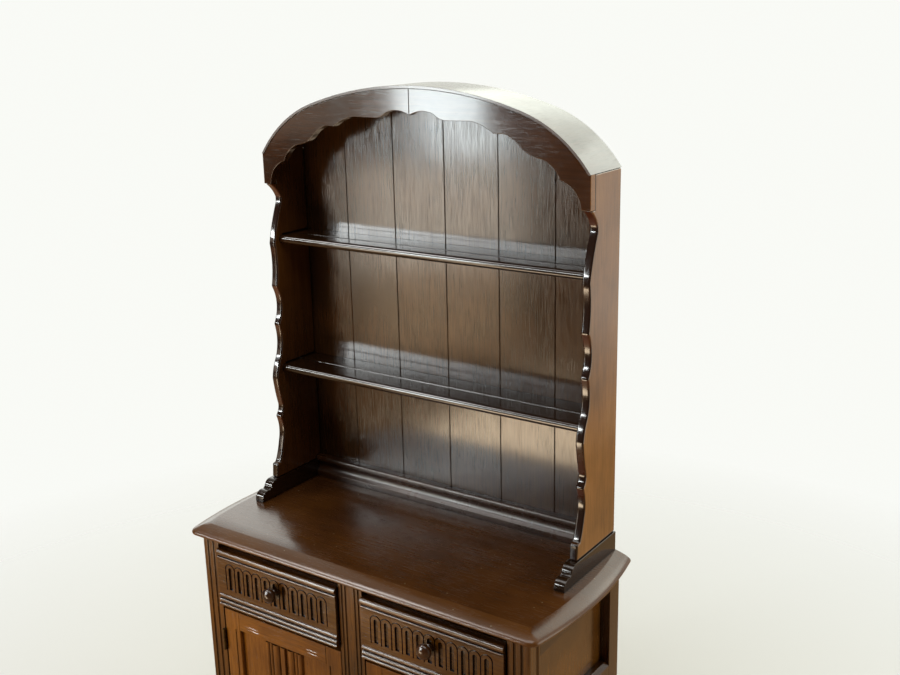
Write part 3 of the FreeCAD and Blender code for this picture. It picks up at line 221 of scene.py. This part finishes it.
def paint_outer_light_and_shade(g, colour, figure, place, normal, tone, outer):
    """Paler outer sides and darker shaped edges, painted light and shade; also gives their
    roughness.
    """
    # painted light: the outer sides take the paler stain
    away = g.span(g.math("ABSOLUTE", g.axis(place, "X")), OUTER_X, OUTER_X + OUTER_FADE)
    colour = g.mix(away, colour, stain_figure(g, figure, outer))
    forward, upward = g.axis(normal, "Y"), g.axis(normal, "Z")
    if tone == "top":
        # side boards: front edges painted nearly black, a painted shade, and warmer where they
        # face down, a painted reflection
        front = g.span(forward, -0.25, -0.60)
        under = g.span(upward, -0.02, -0.30)
        tint = g.mix(g.math("MULTIPLY", under, 0.8), FRONT_PAINTED_SHADE, UNDER_PAINTED_REFLECTION)
        dull = g.math("MULTIPLY", g.math("MULTIPLY", front, under), 0.25)
    else:
        # fascia: a painted shade on its upper arris
        front = g.math("MULTIPLY", g.span(forward, -0.1, -0.3), g.span(upward, 0.08, 0.20))
        tint = ARRIS_PAINTED_SHADE
        dull = g.math("MULTIPLY", front, 0.4)
    return g.mix(front, colour, tint), dull


def paint_top_sheen_and_chips(g, colour, place, normal, worn_and_sheen):
    """The table top's front slope is painted paler as a sheen, and small chips show on its
    face.
    """
    slope = g.span(g.axis(normal, "Y"), -0.05, -0.20)
    colour = g.mix(g.math("MULTIPLY", slope, 0.3), colour, worn_and_sheen)
    cells = g.add("ShaderNodeTexVoronoi", {"Vector": place, "Scale": SPECK_SCALE},
                  voronoi_dimensions="2D", feature="F1")
    chance = g.axis(cells.outputs["Color"], "X")
    spot = g.math("MULTIPLY", g.span(cells.outputs["Distance"], 0.034, 0.018),
                  g.math("GREATER_THAN", chance, 0.72))
    return g.mix(g.math("MULTIPLY", spot, 0.6), colour, SPECK)


def make_wood(tone, along, rough=(0.13, 0.22), relief=1.0, board=0.0, coat=0.25, wear_and_shade=1.0,
              stain_and_shade_reach=0.014, fill=(0.80, 0.30), outer=None, specks=False):
    """Open-grained stained oak under lacquer.

    tone is its stain, along the axis of its grain, rough the range of its roughness, relief
    the depth of its pores and board the width of its boards, if it has any. Stain and painted
    shade gather in hollows within the given reach, more so as their openness falls through
    fill; the wear setting scales the worn arrises and this painted shade. outer is the paler
    stain painted on the rack's outer sides as painted light, and specks are for the table top
    and its front slope's painted sheen.
    """
    # pieces of one wood share a material, and what tells the woods apart is in its name
    name = "wood_%s_%s_%s_%s_%s" % (tone, "xyz"[along], outer or relief, coat, fill[0])
    if name in bpy.data.materials:
        return bpy.data.materials[name]
    hollow, worn_and_sheen = rgb(WOODS[tone][0]), rgb(WOODS[tone][4])
    g = Graph(name)
    place = g.add("ShaderNodeTexCoord").outputs["Object"]
    normal = g.add("ShaderNodeNewGeometry").outputs["Normal"]
    if board:
        place, shift = part_boards(g, place, board)
    figure, pore = draw_grain(g, place, along, board)
    if board:
        shift = g.math("MULTIPLY", g.math("SUBTRACT", shift, 0.5), 0.10)
        figure = g.math("ADD", figure, shift)
    colour = stain_figure(g, figure, tone)
    if outer:
        colour, dull = paint_outer_light_and_shade(g, colour, figure, place, normal, tone, outer)
    colour = g.mix(g.math("MULTIPLY", pore, 0.22 + 0.2 * min(relief, 1.0)), colour, hollow)
    # arrises worn through the stain; hollows darkened with stain and painted shade
    bevel = g.add("ShaderNodeBevel", {"Radius": ARRIS_REACH}, samples=4)
    same = g.vector("DOT_PRODUCT", bevel.outputs[0], normal, "Value")
    edge = g.math("MULTIPLY", g.span(same, 0.98, 0.80),
                  g.span(g.noise(place, 30.0, 3.0), 0.40, 0.62))
    colour = g.mix(g.math("MULTIPLY", edge, 0.55 * wear_and_shade), colour, worn_and_sheen)
    # painted shade: darker where ambient occlusion finds a hollow, together with stain gathered
    # there
    open_air = g.add("ShaderNodeAmbientOcclusion", {"Distance": stain_and_shade_reach}, samples=4)
    hollow_stain_and_shade = g.span(open_air.outputs["AO"], *fill)
    colour = g.mix(g.math("MULTIPLY", hollow_stain_and_shade, 0.85 * wear_and_shade), colour, hollow)
    if specks:
        colour = paint_top_sheen_and_chips(g, colour, place, normal, worn_and_sheen)
    gloss = g.span(g.noise(place, 14.0, 4.0, 0.6), 0.3, 0.7, rough[0], rough[1])
    gloss = g.math("ADD", gloss, g.math("MULTIPLY", pore, 0.10))
    if outer:
        gloss = g.math("ADD", gloss, dull)
    bump = g.add("ShaderNodeBump", {"Strength": 0.22 * relief, "Distance": PORE_DEPTH,
                                    "Height": g.math("SUBTRACT", 1.0, pore)})
    shader = g.add("ShaderNodeBsdfPrincipled", {
        "Base Color": colour, "Roughness": gloss, "Normal": bump.outputs[0],
        "Coat Weight": coat, "Coat Roughness": LACQUER_ROUGH, "IOR": LACQUER_IOR})
    g.add("ShaderNodeOutputMaterial", {"Surface": shader.outputs[0]})
    return g.material


SCRATCH_DEPTH = 0.0001
METAL_ROUGH = 0.35


def make_metal(name, colour, dull):
    """Aged metal: spots of tarnish and fine scratches."""
    g = Graph(name)
    place = g.add("ShaderNodeTexCoord").outputs["Object"]
    spots = g.noise(place, 260.0, 5.0, 0.65)
    lines = g.noise(g.vector("MULTIPLY", place, (1.0, 1.0, 0.05)), 1500.0, 2.0)
    tint = g.mix(g.span(spots, 0.40, 0.66), rgb(colour), rgb(dull))
    rough = g.math("ADD", g.span(spots, 0.35, 0.7, METAL_ROUGH, METAL_ROUGH + 0.3),
                   g.math("MULTIPLY", lines, 0.1))
    bump = g.add("ShaderNodeBump", {"Strength": 0.25, "Distance": SCRATCH_DEPTH,
                                    "Height": lines})
    shader = g.add("ShaderNodeBsdfPrincipled", {
        "Base Color": tint, "Metallic": 1.0, "Roughness": rough, "Normal": bump.outputs[0]})
    g.add("ShaderNodeOutputMaterial", {"Surface": shader.outputs[0]})
    return g.material


MERGE = 0.00001                        # points closer than this are one
FLAT_ANGLE = math.radians(0.6)         # faces that turn less lie in one plane
ARRIS_ANGLE = math.radians(30)         # edges that turn more are rounded
SHARP_ANGLE = math.radians(32)         # and shaded as edges


def smooth_by_angle():
    """Modifier group that shades smooth except over sharp edges."""
    name = "shade_by_angle"
    if name in bpy.data.node_groups:
        return bpy.data.node_groups[name]
    group = bpy.data.node_groups.new(name, "GeometryNodeTree")
    group.interface.new_socket("Geometry", in_out="INPUT", socket_type="NodeSocketGeometry")
    group.interface.new_socket("Geometry", in_out="OUTPUT", socket_type="NodeSocketGeometry")
    new, link = group.nodes.new, group.links.new
    start, end = new("NodeGroupInput"), new("NodeGroupOutput")
    drop = new("GeometryNodeRemoveAttribute")
    drop.inputs["Name"].default_value = "custom_normal"
    whole = new("GeometryNodeSetShadeSmooth")
    whole.inputs["Shade Smooth"].default_value = True
    angle = new("GeometryNodeInputMeshEdgeAngle")
    sharp = new("FunctionNodeCompare")
    sharp.data_type, sharp.operation = "FLOAT", "GREATER_THAN"
    sharp.inputs[1].default_value = SHARP_ANGLE
    edges = new("GeometryNodeSetShadeSmooth")
    edges.domain = "EDGE"
    edges.inputs["Shade Smooth"].default_value = False
    link(start.outputs[0], drop.inputs[0])
    link(drop.outputs[0], whole.inputs["Geometry"])
    link(angle.outputs["Unsigned Angle"], sharp.inputs[0])
    link(whole.outputs[0], edges.inputs["Geometry"])
    link(sharp.outputs[0], edges.inputs["Selection"])
    link(edges.outputs[0], end.inputs[0])
    return group


def dress(node, material, arris=0.0008, segments=2):
    """Give a CAD node a material, and arrises rounded to a width, in segments."""
    piece = nodes[node]
    piece.data.materials.clear()
    piece.data.materials.append(material)
    if arris:
        weld = piece.modifiers.new("weld", "WELD")
        weld.merge_threshold = MERGE
        plane = piece.modifiers.new("planes", "DECIMATE")
        plane.decimate_type = "DISSOLVE"
        plane.angle_limit = FLAT_ANGLE
        edge = piece.modifiers.new("arris", "BEVEL")
        edge.width, edge.segments = arris, segments
        edge.limit_method, edge.angle_limit = "ANGLE", ARRIS_ANGLE
        edge.use_clamp_overlap = False
        piece.modifiers.new("shading", "NODES").node_group = smooth_by_angle()
        flat = piece.modifiers.new("flat_faces", "WEIGHTED_NORMAL")
        flat.keep_sharp = True


def table_top_wood():
    """Wood of the table top, for the CAD node and for the piece that replaces it."""
    # specks also paint the front slope paler: a painted sheen
    return make_wood("top", 0, (0.17, 0.27), 0.25, coat=0.1, specks=True)


def dress_all():
    """Choose the wood, the grain's direction and the arrises of each CAD node."""
    x, y, z = 0, 1, 2
    polished, unfinished = (0.07, 0.12), (0.5, 0.7)
    rough_x, rough_y = (make_wood("plain", axis, unfinished, coat=0.0) for axis in (x, y))
    for side in ("left", "right"):
        # the side stain paints the rack's outer sides paler, a painted light, and their front
        # edges with painted shade and reflection
        dress("rack_side_" + side,
              make_wood("top", z, (0.08, 0.13), 0.2, coat=0.5, outer="side"), 0.0045, 5)
        dress("rack_foot_" + side, make_wood("dark", y, polished, 0.2), 0.0012)
        # the fascia takes the paler stain at its ends and a painted shade on its upper arris
        dress("arch_fascia_" + side, make_wood("case", x, polished, 0.12, outer="side"),
              0.0012, 3)
        dress("front_post_" + side, make_wood("front", z))
        dress("rear_post_" + side, make_wood("case", z), 0.0015)
        dress("side_rails_" + side, make_wood("case", y))
        dress("side_panel_" + side, make_wood("front", z), 0)
        # a high fill darkens the drawer fronts' flutes more: painted shade
        dress(side + "_drawer_front", make_wood("drawer", x, fill=(0.95, 0.66)), 0)
        dress(side + "_drawer_sides", rough_y, 0.0010)
        dress(side + "_drawer_back", rough_x, 0.0010)
        dress(side + "_drawer_bottom", rough_x, 0)
        for part in ("_drawer_knob", "_door_knob"):
            dress(side + part, make_wood("case", y, (0.10, 0.17), 0.3), 0)
        dress(side + "_door_stiles", make_wood("panel", z), 0.0004, 1)
        dress(side + "_door_rails", make_wood("panel", x), 0.0004, 1)
        dress(side + "_door_panel", make_wood("panel", z), 0)
    dress("back_boards", make_wood("boards", z, (0.11, 0.17), 0.65, board=BOARD_PITCH,
                                   wear_and_shade=0.3, stain_and_shade_reach=0.002), 0)
    dress("back_rail", make_wood("case", x, (0.24, 0.32), 0.1, coat=0.1))
    dress("table_top", table_top_wood(), 0)
    dress("arch_roof", make_wood("case", y, (0.34, 0.44), 0.2, coat=0.9), 0.0006)
    for node in ("lower_shelf", "upper_shelf"):
        dress(node, make_wood("dark", x, (0.04, 0.08), 0.2), 0.0014, 3)
    for node in ("front_top_rail", "mid_rail", "front_bottom_rail"):
        dress(node, make_wood("case", x, (0.20, 0.28), 0.5))
    dress("plinth_boards", make_wood("case", x), 0)
    dress("centre_muntin", make_wood("front", z))
    for node in ("cupboard_floor", "cupboard_shelf", "base_back_panel", "rear_rails",
                 "shelf_battens", "drawer_runners", "drawer_kickers", "door_stop"):
        dress(node, rough_x, 0)
    brass = make_metal("aged_brass", "5a4526", "1e1710")
    for node in ("left_door_hinge_leaves", "right_door_hinge_leaves", "post_hinge_leaves",
                 "hinge_pins"):
        dress(node, brass, 0)
    dress("rack_screws", make_metal("dull_steel", "a09c94", "5c5650"), 0)


# ---------------------------------------------------------------- surroundings and light

FLOOR_RADII = (1.0, 2.0, 4.0, 8.0)
FLOOR_STEPS = 96
FLOOR_SHOWN, FLOOR_LIGHT = (0.88, 0.87, 0.84, 1.0), (0.50, 0.33, 0.19, 1.0)
SHOWN_FADE, LIGHT_FADE = (0.9, 2.6), (2.8, 5.4)      # radii where the floor goes clear


def make_floor():
    """Floor that shows pale, throws warm light and fades into the background."""
    mesh = bpy.data.meshes.new("floor")
    count = FLOOR_STEPS
    points = [(0.0, 0.0, 0.0)]
    for radius in FLOOR_RADII:
        points += [(radius * math.cos(2 * math.pi * i / count),
                    radius * math.sin(2 * math.pi * i / count), 0.0) for i in range(count)]
    faces = [(0, 1 + i, 1 + (i + 1) % count) for i in range(count)]
    for ring in range(len(FLOOR_RADII) - 1):
        a, b = 1 + ring * count, 1 + (ring + 1) * count
        faces += [(a + i, b + i, b + (i + 1) % count, a + (i + 1) % count)
                  for i in range(count)]
    mesh.from_pydata(points, [], faces)
    floor = bpy.data.objects.new("floor", mesh)
    bpy.context.scene.collection.objects.link(floor)
    g = Graph("floor_paint")
    place = g.add("ShaderNodeTexCoord").outputs["Object"]
    far = g.vector("LENGTH", place, output="Value")
    seen = g.add("ShaderNodeLightPath").outputs["Is Camera Ray"]
    tint = g.mix(seen, FLOOR_LIGHT, FLOOR_SHOWN)
    diffuse = g.add("ShaderNodeBsdfDiffuse", {"Color": tint})
    clear = g.add("ShaderNodeBsdfTransparent")
    near, wide = g.span(far, *SHOWN_FADE), g.span(far, *LIGHT_FADE)
    fade = g.math("ADD", wide, g.math("MULTIPLY", seen, g.math("SUBTRACT", near, wide)))
    mixed = g.add("ShaderNodeMixShader", {0: fade, 1: diffuse.outputs[0], 2: clear.outputs[0]})
    g.add("ShaderNodeOutputMaterial", {"Surface": mixed.outputs[0]})
    mesh.materials.append(g.material)


SKY_SHOWN, SKY_LIGHT = (0.95, 0.96, 0.92, 1.0), (0.97, 1.0, 0.93, 1.0)
SKY_WARM, WARM_LEVEL = (1.0, 0.66, 0.38, 1.0), 0.055
SKY_RISE = {"From Min": -0.2, "From Max": 0.5, "To Min": 0.03, "To Max": 0.86}


def make_world():
    """Dim grey light, brighter behind the dresser; the background shows as near white."""
    world = bpy.data.worlds.new("room")
    bpy.context.scene.world = world
    world.use_nodes = True
    tree = world.node_tree
    tree.nodes.clear()
    new, link = tree.nodes.new, tree.links.new
    path, place = new("ShaderNodeLightPath"), new("ShaderNodeTexCoord")
    split, level = new("ShaderNodeSeparateXYZ"), new("ShaderNodeMapRange")
    link(place.outputs["Generated"], split.inputs[0])
    link(split.outputs["Y"], level.inputs["Value"])
    for name, value in SKY_RISE.items():
        level.inputs[name].default_value = value
    shown, light, warm = (new("ShaderNodeBackground") for _ in range(3))
    shown.inputs["Color"].default_value = SKY_SHOWN
    light.inputs["Color"].default_value = SKY_LIGHT
    warm.inputs["Color"].default_value = SKY_WARM
    warm.inputs["Strength"].default_value = WARM_LEVEL
    both, mixer = new("ShaderNodeAddShader"), new("ShaderNodeMixShader")
    output = new("ShaderNodeOutputWorld")
    link(level.outputs[0], light.inputs["Strength"])
    link(light.outputs[0], both.inputs[0])
    link(warm.outputs[0], both.inputs[1])
    link(path.outputs["Is Camera Ray"], mixer.inputs[0])
    link(both.outputs[0], mixer.inputs[1])
    link(shown.outputs[0], mixer.inputs[2])
    link(mixer.outputs[0], output.inputs[0])


def make_lamp(name, place, aim, width, height, level, colour, soft):
    """Rectangular lamp that points at a place; level is its brightness, 1 as white.

    A lamp that isn't soft is seen in gloss only.
    """
    data = bpy.data.lights.new(name, "AREA")
    data.shape = "RECTANGLE"
    data.size, data.size_y = width, height
    data.energy = level * math.pi * width * height
    data.color = colour
    lamp = bpy.data.objects.new(name, data)
    lamp.location = place
    way = Vector(aim) - Vector(place)
    lamp.rotation_euler = way.to_track_quat("-Z", "Y").to_euler()
    lamp.visible_camera = False
    lamp.visible_diffuse = soft
    bpy.context.scene.collection.objects.link(lamp)


LAMPS = [
    # name, place, aim, width, height, level, colour
    ("ceiling", (0.2, -0.8, 3.4), (0, 0, 0.8), 2.4, 1.4, 2.9, (1.0, 0.99, 0.97)),
    ("ceiling_left", (-1.8, -1.0, 3.4), (0, 0, 1.0), 1.2, 1.0, 11.0, (1.0, 0.99, 0.97)),
    ("window", (-2.03, -2.9, 1.5), (0, 0.2, 1.3), 0.46, 0.7, 19.5, (0.88, 0.98, 1.0)),
    ("window_top", (-1.76, -2.39, 1.90), (0, 0.2, 1.7), 1.8, 0.23, 37.0, (0.95, 1.0, 1.0)),
    ("wall_front", (-2.25, -2.95, 0.8), (0, 0.2, 1.3), 0.95, 0.6, 7.0, (1.0, 0.88, 0.72)),
    ("wall_upper", (-2.9, -2.9, 1.7), (0, 0.2, 1.3), 1.3, 0.9, 1.0, (1.0, 0.80, 0.62)),
    ("wall_foot", (-2.25, -2.95, 0.25), (0, 0.2, 1.2), 0.85, 0.5, 3.4, (1.0, 0.70, 0.42)),
    ("floor_glow", (-1.0, -1.95, 0.03), (-1.0, -1.95, 2.0), 1.0, 1.1, 10.0,
     (1.0, 0.80, 0.56)),
    ("wall_behind", (-0.2, 3.2, 3.6), (0, 0, 1.2), 4.0, 2.2, 1.55, (0.93, 1.0, 0.88)),
    ("wall_behind_right", (1.2, 3.1, 2.7), (0.3, 0, 1.5), 1.6, 1.0, 1.5, (0.95, 1.0, 0.91)),
    ("wall_left", (-2.6, 1.4, 1.6), (0, 0, 0.9), 1.6, 1.8, 1.2, (0.97, 1.0, 0.97)),
    ("wall_right", (2.4, 0.6, 1.1), (0, 0, 0.9), 1.6, 1.8, 1.6, (0.96, 0.98, 0.84)),
]
GLOSS_ONLY = ("ceiling_left", "window_top")


def light_room():
    """Light from all round, as the lacquer mirrors it, brightest from the left front."""
    make_world()
    for name, *rest in LAMPS:
        make_lamp(name, *rest, name not in GLOSS_ONLY)


# ---------------------------------------------------------------- pieces of its own

def make_piece(name, points, faces, material, angle):
    """Object from points and faces, smooth but for edges that turn more than the angle."""
    mesh = bpy.data.meshes.new(name)
    mesh.from_pydata(points, [], faces)
    shape = bmesh.new()
    shape.from_mesh(mesh)
    bmesh.ops.remove_doubles(shape, verts=shape.verts, dist=MERGE)
    bmesh.ops.recalc_face_normals(shape, faces=shape.faces)
    for face in shape.faces:
        face.smooth = True
    for edge in shape.edges:
        if len(edge.link_faces) == 2 and edge.calc_face_angle(0.0) > angle:
            edge.smooth = False
    shape.to_mesh(mesh)
    shape.free()
    mesh.materials.append(material)
    piece = bpy.data.objects.new(name, mesh)
    bpy.context.scene.collection.objects.link(piece)
    return piece


# The table top's outline: half its width, how far its sides bow, its front corners' radius,
# its rear edge and how far the widest place lies in front of it.
TOP_HALF, TOP_BOW, TOP_CORNER = 0.483, 0.022, 0.025
TOP_BACK, TOP_DEPTH = 0.2155, 0.206
TOP_Z = 0.770
SIDE_STEPS, CORNER_STEPS, FRONT_STEPS = 48, 12, 40
TOP_EDGE_ANGLE = math.radians(40)

TOP_PROFILE = [
    # inset from the nose, drop below the top, from the flat down round the nose
    (0.0360, 0.0000), (0.0354, 0.0001), (0.0345, 0.0003), (0.0300, 0.0014), (0.0240, 0.0030),
    (0.0180, 0.0049), (0.0130, 0.0067), (0.0090, 0.0084), (0.0060, 0.0099), (0.0038, 0.0113),
    (0.0020, 0.0129), (0.0009, 0.0143), (0.0002, 0.0157), (0.0000, 0.0170), (0.0002, 0.0184),
    (0.0008, 0.0198), (0.0018, 0.0209), (0.0030, 0.0217), (0.0044, 0.0220),
]


def on_circle(centre, radius, angle):
    """Point at an angle on a circle seen from above."""
    return centre + Vector((math.cos(angle), math.sin(angle))) * radius


def top_ring(inset):
    """Points of the table top's outline moved inwards, from the right rear to the left rear."""
    middle_y = TOP_BACK - TOP_DEPTH
    radius = (TOP_BOW * TOP_BOW + TOP_DEPTH * TOP_DEPTH) / TOP_BOW / 2
    centre = Vector((TOP_HALF - radius, middle_y))
    lift = TOP_CORNER - TOP_DEPTH
    corner_centre = centre + Vector((math.sqrt((radius - TOP_CORNER) ** 2 - lift ** 2), lift))
    side = radius - inset
    start = math.asin((TOP_BACK - middle_y) / side)
    if inset < TOP_CORNER:
        end = math.atan2(corner_centre.y - centre.y, corner_centre.x - centre.x)
    else:
        end = math.asin((inset - TOP_DEPTH) / side)
    points = [on_circle(centre, side, start + (end - start) * i / SIDE_STEPS)
              for i in range(SIDE_STEPS + 1)]
    for i in range(1, CORNER_STEPS + 1):
        # rings further in than the corner's radius have a plain corner, all at one point
        angle = end + (-math.pi / 2 - end) * i / CORNER_STEPS
        points.append(on_circle(corner_centre, TOP_CORNER - inset, angle)
                      if inset < TOP_CORNER else points[SIDE_STEPS].copy())
    front = points[-1]
    for i in range(1, FRONT_STEPS):
        points.append(Vector((front.x * (1 - i / FRONT_STEPS), front.y)))
    left = [Vector((-p.x, p.y)) for p in reversed(points)]
    return points + [Vector((0.0, front.y))] + left


def make_top():
    """Table top with its true rounded slope, in place of the CAD's plainer one."""
    rings = [[(p.x, p.y, TOP_Z - drop) for p in top_ring(inset)] for inset, drop in TOP_PROFILE]
    count = len(rings[0])
    points = [p for ring in rings for p in ring]
    starts = [ring * count for ring in range(len(rings))]
    faces = []
    for a, b in zip(starts, starts[1:]):
        faces += [(a + i, a + i + 1, b + i + 1, b + i) for i in range(count - 1)]
    faces.append(tuple(range(count))[::-1])
    faces.append(tuple(range(starts[-1], starts[-1] + count)))
    faces.append(tuple(starts + [start + count - 1 for start in reversed(starts)]))
    piece = make_piece("dressed_table_top", points, faces, table_top_wood(), TOP_EDGE_ANGLE)
    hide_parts("table_top")
    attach(piece, "cabinet")


# each hem's two ends, out from the middle of the dresser, and its height
HEMS = ((0.281, 0.327, 0.5405), (0.278, 0.319, 0.5340),
        (0.104, 0.137, 0.5430), (0.097, 0.135, 0.5355))
HEM_TAPER = 0.004                      # it rises from nothing over this length at each end
HEM_HALF, HEM_ROOT = 0.0013, 0.0004    # half its height, and how deep its edges are let in
HEM_SECTION = ((0.0009, -0.0008), (0.0011, 0.0002))      # its ridge: how proud, how high
HEM_EDGE_ANGLE = math.radians(60)


def make_hems(side, turn):
    """Two short raised hems at the upper end of each outer fold of a door's panel, in paler
    wood, a painted highlight.
    """
    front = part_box(side + "_door_rails")[0][1]
    around = len(HEM_SECTION) + 2
    points, faces = [], []
    for start, end, height in HEMS:
        first = len(points)
        stations = ((start, 0.0), (start + HEM_TAPER, 1.0), (end - HEM_TAPER, 1.0), (end, 0.0))
        for across, swell in stations:
            points.append((across * turn, front + HEM_ROOT, height - HEM_HALF))
            points += [(across * turn, front - proud * swell, height + rise)
                       for proud, rise in HEM_SECTION]
            points.append((across * turn, front + HEM_ROOT, height + HEM_HALF))
        last = len(points) - around
        for a in range(first, last, around):
            b = a + around
            faces += [(a + i, a + i + 1, b + i + 1, b + i) for i in range(around - 1)]
            faces.append((a + around - 1, a, b, b + around - 1))
        faces += [tuple(range(first, first + around)), tuple(range(last, last + around))]
    # the paler wood is a painted highlight on the hems
    piece = make_piece(side + "_door_hems", points, faces,
                       make_wood("side", 0, (0.12, 0.18), 0.2), HEM_EDGE_ANGLE)
    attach(piece, side + "_door")


# ---------------------------------------------------------------- scene

bpy.context.scene.view_settings.view_transform = "Standard"
make_camera()
make_floor()
light_room()
dress_all()
make_top()
make_hems("left", -1)
make_hems("right", 1)
